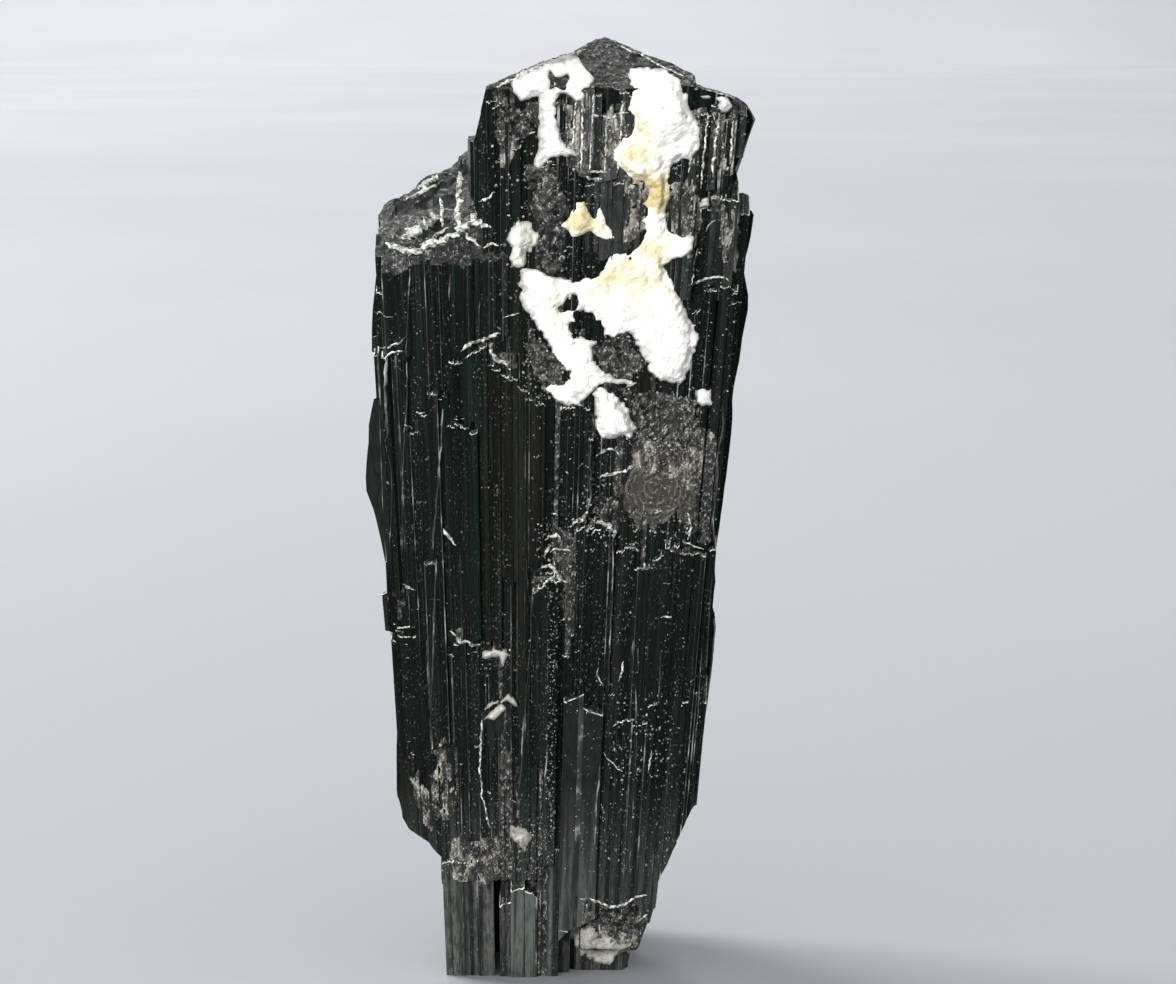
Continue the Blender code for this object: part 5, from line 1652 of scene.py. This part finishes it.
MAIN_HOLE_2 = [(0.0, 36.2), (0.5, 36.6), (1.0, 36.8), (0.9, 36.3), (0.3, 36.1)]
PATCH = [
    (0.9, 41.7), (1.3, 41.7), (1.5, 41.3), (1.8, 40.8), (1.9, 40.9), (1.9, 41.3), (2.1, 41.5),
    (2.2, 41.1), (2.4, 40.5), (2.7, 39.9), (2.3, 39.9), (1.9, 40.0), (1.6, 40.2), (1.1, 40.0),
    (0.8, 40.0), (0.6, 40.3), (0.2, 40.5), (0.4, 40.7), (0.6, 40.9), (0.7, 41.2), (0.9, 41.4),
]
PEBBLE = [
    (-1.8, 40.7), (-1.2, 40.6), (-1.1, 40.3), (-0.9, 39.8), (-1.1, 39.3), (-1.3, 38.9), (-1.6, 38.5),
    (-2.0, 38.5), (-2.2, 38.9), (-2.2, 39.6), (-2.2, 40.1), (-2.0, 40.5),
]
NUGGET = [
    (2.3, 32.1), (2.9, 32.0), (3.4, 31.7), (3.6, 31.4), (3.9, 31.0), (4.1, 30.6), (4.3, 30.1),
    (4.1, 29.7), (3.9, 29.5), (3.0, 29.4), (2.5, 29.5), (2.1, 29.9), (2.0, 30.5), (2.1, 31.1),
    (1.9, 31.5), (2.0, 31.9),
]
GRAIN_TOP_1 = [
    (6.1, 47.7), (6.5, 47.7), (6.9, 47.5), (7.2, 47.4), (7.1, 47.1), (6.8, 46.9), (6.5, 46.9),
    (6.3, 47.1),
]
GRAIN_TOP_2 = [
    (7.5, 47.2), (7.8, 46.9), (7.9, 46.5), (7.7, 46.2), (7.2, 46.2), (7.1, 46.3), (7.3, 46.7),
]
SQUARE_UPPER = [(6.7, 41.9), (7.1, 41.9), (7.2, 41.5), (6.7, 41.4)]
SQUARE_LOWER = [(7.2, 32.0), (7.6, 32.1), (8.0, 32.0), (8.1, 31.2), (7.6, 31.2), (7.3, 31.4)]
MIDDLE = [
    (-3.5, 18.1), (-3.2, 18.3), (-3.1, 18.7), (-2.9, 18.6), (-2.9, 18.3), (-2.6, 18.2), (-2.4, 17.9),
    (-2.6, 17.6), (-2.7, 17.1), (-2.8, 17.4), (-2.9, 17.8), (-3.3, 17.8), (-3.7, 17.6), (-4.0, 17.7),
    (-3.9, 18.0),
]
LOW_1 = [
    (-3.9, 14.8), (-3.7, 15.1), (-3.4, 15.4), (-3.0, 15.4), (-2.7, 15.1), (-2.6, 14.9), (-2.9, 14.6),
    (-3.3, 14.3), (-3.7, 14.4), (-4.0, 14.2),
]
LOW_2 = [(-2.5, 15.7), (-2.4, 15.8), (-2.1, 15.5), (-1.9, 15.1), (-2.2, 15.2), (-2.5, 15.4)]
BELT = [
    (-2.6, 8.9), (-2.0, 8.8), (-1.2, 8.6), (-0.9, 8.1), (-1.0, 7.6), (-1.3, 7.3), (-1.0, 7.0),
    (-1.4, 7.1), (-1.9, 7.5), (-2.4, 7.8), (-2.7, 8.2),
]
FOOT = [
    (2.1, 3.0), (2.9, 2.7), (3.6, 2.3), (4.4, 2.1), (5.3, 1.8), (6.2, 1.6), (6.0, 1.1), (5.0, 0.8),
    (4.5, 0.3), (3.7, 0.2), (3.0, 0.6), (2.2, 0.8), (1.8, 1.4), (1.6, 2.1), (1.9, 2.6),
]
MAIN_DOMES = [
    (4.9, 46.3, 1.6, 2.0, 1.1), (5.5, 45.0, 1.1, 1.6, 0.6), (3.7, 43.9, 1.3, 1.2, 0.7),
    (4.6, 42.2, 0.8, 1.4, 0.5), (4.8, 40.6, 0.6, 1.2, 0.3), (4.2, 38.2, 1.6, 1.3, 0.5),
    (2.7, 38.2, 0.8, 0.8, 0.3), (5.6, 36.0, 1.7, 2.0, 0.7), (5.9, 34.0, 1.1, 1.7, 0.7),
    (3.2, 36.3, 1.6, 1.0, 0.4), (-0.6, 37.2, 1.2, 1.1, 0.3), (0.6, 35.2, 0.9, 1.1, 0.3),
    (1.2, 33.3, 0.8, 1.2, 0.3),
]
MAIN_STAINS = [
    (3.6, 45.4, 1.5, 0.85), (3.3, 44.1, 1.7, 0.9), (4.2, 41.9, 1.9, 1.5), (4.0, 39.6, 1.7, 0.8),
    (2.7, 37.8, 2.0, 0.85), (0.2, 32.8, 1.2, 0.5), (4.4, 36.6, 1.9, 0.55), (0.0, 36.3, 1.3, 0.45),
    (3.6, 37.9, 3.2, 0.68), (4.9, 38.9, 1.7, 0.75), (3.6, 46.6, 1.3, 0.5),
]
CAP_DOMES = [
    (-0.9, 47.9, 1.3, 0.8, 0.4), (0.9, 48.2, 0.8, 0.9, 0.4),
    (-0.5, 46.0, 0.5, 1.4, 0.3), (0.0, 44.6, 0.9, 0.6, 0.3),
]
crust(
    "feldspar_main", ["feldspar_crust"], MAIN, MAIN_DOMES, 61,
    holes=[MAIN_HOLE_1, MAIN_HOLE_2], stains=MAIN_STAINS,
)
crust(
    "feldspar_top", ["feldspar_cap"], CAP, CAP_DOMES, 62,
    holes=[CAP_HOLE_1, CAP_HOLE_2], ragged=0.08, grey=0.6,
)
crust(
    "feldspar_lump", ["feldspar_nugget"], NUGGET, [(3.1, 30.7, 1.1, 1.4, 0.8)], 63,
    stains=[(2.2, 30.0, 0.8, 0.3)],
)
crust(
    "feldspar_left_pebble", ["feldspar_pebble"], PEBBLE, [(-1.6, 39.6, 0.6, 1.1, 0.45)], 64,
    stains=[(-1.6, 39.5, 1.6, 0.1)], finish=grey_feldspar,
)
crust(
    "feldspar_cream", ["feldspar_patch"], PATCH, [(1.3, 40.6, 0.8, 0.8, 0.3)], 65,
    stains=[(1.2, 40.7, 2.2, 0.9)], ragged=0.06,
)
# Two grains side by side, in one outline that runs from the first round the second.
crust(
    "feldspar_grains_top", ["feldspar_grain_top"], GRAIN_TOP_1 + GRAIN_TOP_2,
    [(6.6, 47.3, 0.8, 0.6, 0.35), (7.5, 46.7, 0.7, 0.7, 0.4)], 66, ragged=0.04,
)
crust(
    "feldspar_square_upper", ["feldspar_grain_upper"], SQUARE_UPPER,
    [(6.9, 41.6, 0.4, 0.4, 0.25)], 67, ragged=0.03,
)
crust(
    "feldspar_square_lower", ["feldspar_grain_lower"], SQUARE_LOWER,
    [(7.6, 31.6, 0.6, 0.6, 0.25)], 68, ragged=0.04,
)
crust(
    "feldspar_middle", ["feldspar_speck_middle"], MIDDLE, [], 69,
    ragged=0.05, rim=0.16, finish=grey_feldspar, grey=0.0,
)
crust(
    "feldspar_low", ["feldspar_crust_low"], LOW_1 + LOW_2, [], 70,
    ragged=0.06, rim=0.16, finish=grey_feldspar, grey=0.0,
)
crust(
    "feldspar_belt", ["feldspar_crust_belt"], BELT, [], 71,
    ragged=0.16, patchy=0.2, rim=0.12, finish=dusty_feldspar,
)
crust(
    "feldspar_foot", ["feldspar_crust_foot"], FOOT, [], 72,
    ragged=0.16, patchy=0.35, rim=0.12, finish=dusty_feldspar,
)


# ----------------------------------------------------------
# Crumbs: tiny loose grains of feldspar and chipped tourmaline, caught in the grooves all over the
# front, thickest on the right and round the crusts.


OCTAHEDRON = np.array([(1, 0, 0), (-1, 0, 0), (0, 1, 0), (0, -1, 0), (0, 0, 1), (0, 0, -1)], float)
OCTAHEDRON_FACES = np.array([
    (0, 2, 4), (2, 1, 4), (1, 3, 4), (3, 0, 4), (2, 0, 5), (1, 2, 5), (3, 1, 5), (0, 3, 5),
])
STAND_OFF = 0.15  # how far a crumb's middle is off the crystal, as a share of its size


def crumbs(name, x, z, sizes, seed):
    """Many small grains as one mesh. Each is an octahedron stretched at random along its axes,
    turned by a random unit quaternion's matrix and set on the crystal's front."""
    rng = np.random.default_rng(seed)
    seat = seated(x, z, crystal)
    there = ~np.isnan(seat)
    x, z, sizes, seat = x[there], z[there], sizes[there], seat[there]
    spin = rng.normal(0, 1, (len(x), 4))
    w, a, b, c = (spin / np.linalg.norm(spin, axis=1)[:, None]).T
    turn = np.stack([
        1 - 2 * (b * b + c * c), 2 * (a * b - w * c), 2 * (a * c + w * b),
        2 * (a * b + w * c), 1 - 2 * (a * a + c * c), 2 * (b * c - w * a),
        2 * (a * c - w * b), 2 * (b * c + w * a), 1 - 2 * (a * a + b * b),
    ], axis=-1).reshape(-1, 3, 3)
    stretch = rng.uniform(0.55, 1.25, (len(x), 1, 3)) * sizes[:, None, None] / 2
    shape = np.einsum("nij,nkj->nki", turn, OCTAHEDRON * stretch)
    middle = np.stack([x, seat - STAND_OFF * sizes, z], axis=-1)
    points = fan((shape + middle[:, None]).reshape(-1, 3))
    first = len(OCTAHEDRON) * np.arange(len(x))[:, None, None]
    faces = (OCTAHEDRON_FACES + first).reshape(-1, 3)
    tones = np.repeat(rng.uniform(0, 1, len(x)), len(OCTAHEDRON_FACES))
    made = placed(name, mesh_of(name, points, [faces], None, tones))
    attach(made, "root")
    return made


def crumb_finish():
    """Crumbs from dusty grey through cream to white, by each one's own number, dark in their pores."""
    material, tree, shader = new_material("crumb", 0.6, 1.53)
    grain = speckles(tree, 9000.0, 2.0)
    stops = [
        (0.0, (0.06, 0.058, 0.055)), (0.5, (0.17, 0.16, 0.15)),
        (0.85, (0.3, 0.29, 0.25)), (1.0, (0.62, 0.6, 0.53)),
    ]
    colour = ramp_of(tree, tone_of(tree), stops)
    colour = veiled(tree, colour, (0.1, 0.095, 0.09), grain, [(0.35, 0.5), (0.55, 0.0)])
    wired(tree, shader, colour, grain, 0.4, 0.05)
    return material


# Where crumbs gather: x, z, half width, half height, how many, largest size.
GATHERINGS = [
    (4.9, 18.0, 4.3, 12.5, 620, 0.2), (-4.5, 22.0, 4.6, 15.5, 260, 0.14),
    (3.5, 27.5, 4.8, 3.5, 260, 0.22), (7.6, 36.0, 1.6, 5.5, 160, 0.18),
    (-0.6, 41.0, 2.6, 4.5, 260, 0.26), (7.0, 44.5, 1.8, 1.8, 80, 0.24),
    (0.0, 33.3, 1.6, 1.9, 220, 0.26), (5.6, 30.4, 2.0, 1.8, 240, 0.24),
    (3.1, 33.8, 1.4, 1.2, 90, 0.26), (4.8, 25.5, 3.2, 2.0, 200, 0.26),
    (0.3, 23.2, 1.2, 2.2, 130, 0.26), (0.2, 14.0, 0.4, 7.5, 340, 0.2),
    (5.6, 13.5, 2.0, 2.5, 150, 0.26), (4.6, 9.0, 3.0, 3.0, 160, 0.2),
    (-1.4, 7.3, 1.2, 1.6, 130, 0.28), (-3.3, 17.7, 1.0, 1.0, 60, 0.22),
    (-6.3, 33.5, 1.6, 3.0, 90, 0.16), (-5.2, 7.2, 2.0, 1.6, 110, 0.18),
    (4.5, 3.0, 2.2, 1.4, 150, 0.24), (-3.3, 13.0, 1.2, 3.5, 60, 0.16),
    (2.0, 44.0, 1.6, 2.6, 110, 0.18),
]
rng = np.random.default_rng(77)
rows = np.array(GATHERINGS)
rows = np.repeat(rows, rows[:, 4].astype(int), axis=0)
scatter = rows[:, :2] + rows[:, 2:4] * rng.uniform(-1, 1, (len(rows), 2))
sizes = 0.9 * rows[:, 5] * rng.uniform(0.35, 0.9, len(rows)) ** 1.4
loose = crumbs("crumbs", scatter[:, 0], scatter[:, 1], sizes, 78)
loose.data.materials.append(crumb_finish())


# ----------------------------------------------------------
# The studio: one pale sweep of paper as floor and background, and soft lights round it.


def sweep(name, half_width, front, back, rise, radius):
    """A profile carried along X: flat floor, a quarter circle, then straight up."""
    turn = np.linspace(0, np.pi / 2, 96)
    profile = np.vstack([
        [[front, 0.0]],
        np.column_stack([back - radius + radius * np.sin(turn), radius - radius * np.cos(turn)]),
        [[back, rise]],
    ])
    points = np.array([[[side, y, z] for y, z in profile] for side in (-half_width, half_width)])
    faces = grid_cells(2, len(profile))[1].reshape(-1, 4)
    mesh = bpy.data.meshes.new(name)
    mesh.from_pydata(points.reshape(-1, 3).tolist(), [], faces.tolist())
    mesh.shade_smooth()
    material, tree, shader = new_material("pale_paper", 0.9, 1.3, 0.0)
    stops = [(0.3, (0.7, 0.71, 0.735)), (0.7, (0.74, 0.75, 0.775))]
    tree.links.new(ramp_of(tree, speckles(tree, 6.0, 2.0), stops), shader.inputs["Base Color"])
    mesh.materials.append(material)
    made = placed(name, mesh)
    return made


def area_light(name, place, target, size, power):
    """A rectangle of light at a place in metres, turned to face its target."""
    data = bpy.data.lights.new(name, "AREA")
    data.shape = "RECTANGLE"
    data.size, data.size_y = size
    data.energy = power
    made = placed(name, data)
    made.location = place
    toward = mathutils.Vector(target) - mathutils.Vector(place)
    made.rotation_euler = toward.to_track_quat("-Z", "Y").to_euler()
    return made


paper = sweep("paper_sweep", half_width=4.0, front=-1.5, back=3.2, rise=2.4, radius=0.9)
# Three lights for the paper, which fades away from the crystal, and three that only the crystal
# and its crusts take, so that they throw no shadow on the paper.
area_light("left_wash", (-0.5, 0.2, 0.25), (0.0, 0.1, 0.0), (0.1, 0.1), 1.2)
area_light("middle_wash", (-1.0, 0.8, 1.2), (-0.3, 1.3, 0.0), (0.6, 0.6), 12.7)
area_light("back_wash", (-0.5, 2.75, 2.2), (-0.15, 3.0, 0.0), (0.6, 0.6), 25.0)
BODY_MIDDLE = (0.0, 0.0, 0.03)
close = [
    area_light("left_strip", (-0.4, 0.02, 0.12), BODY_MIDDLE, (0.05, 0.4), 1.6),
    area_light("right_strip", (0.42, 0.06, 0.14), BODY_MIDDLE, (0.05, 0.4), 0.8),
    area_light("front_softbox", (-0.22, -0.46, 0.22), BODY_MIDDLE, (0.14, 0.14), 3.6),
]
lit = bpy.data.collections.new("lit_close")
for piece in bpy.context.scene.objects:
    if piece.type == "MESH" and piece != paper:
        lit.objects.link(piece)
for light in close:
    light.light_linking.receiver_collection = lit

world = bpy.data.worlds.new("studio")
world.use_nodes = True
background = world.node_tree.nodes["Background"]
background.inputs["Color"].default_value = (0.92, 0.93, 0.97, 1)
background.inputs["Strength"].default_value = 0.44
bpy.context.scene.world = world
bpy.context.scene.view_settings.view_transform = "Standard"
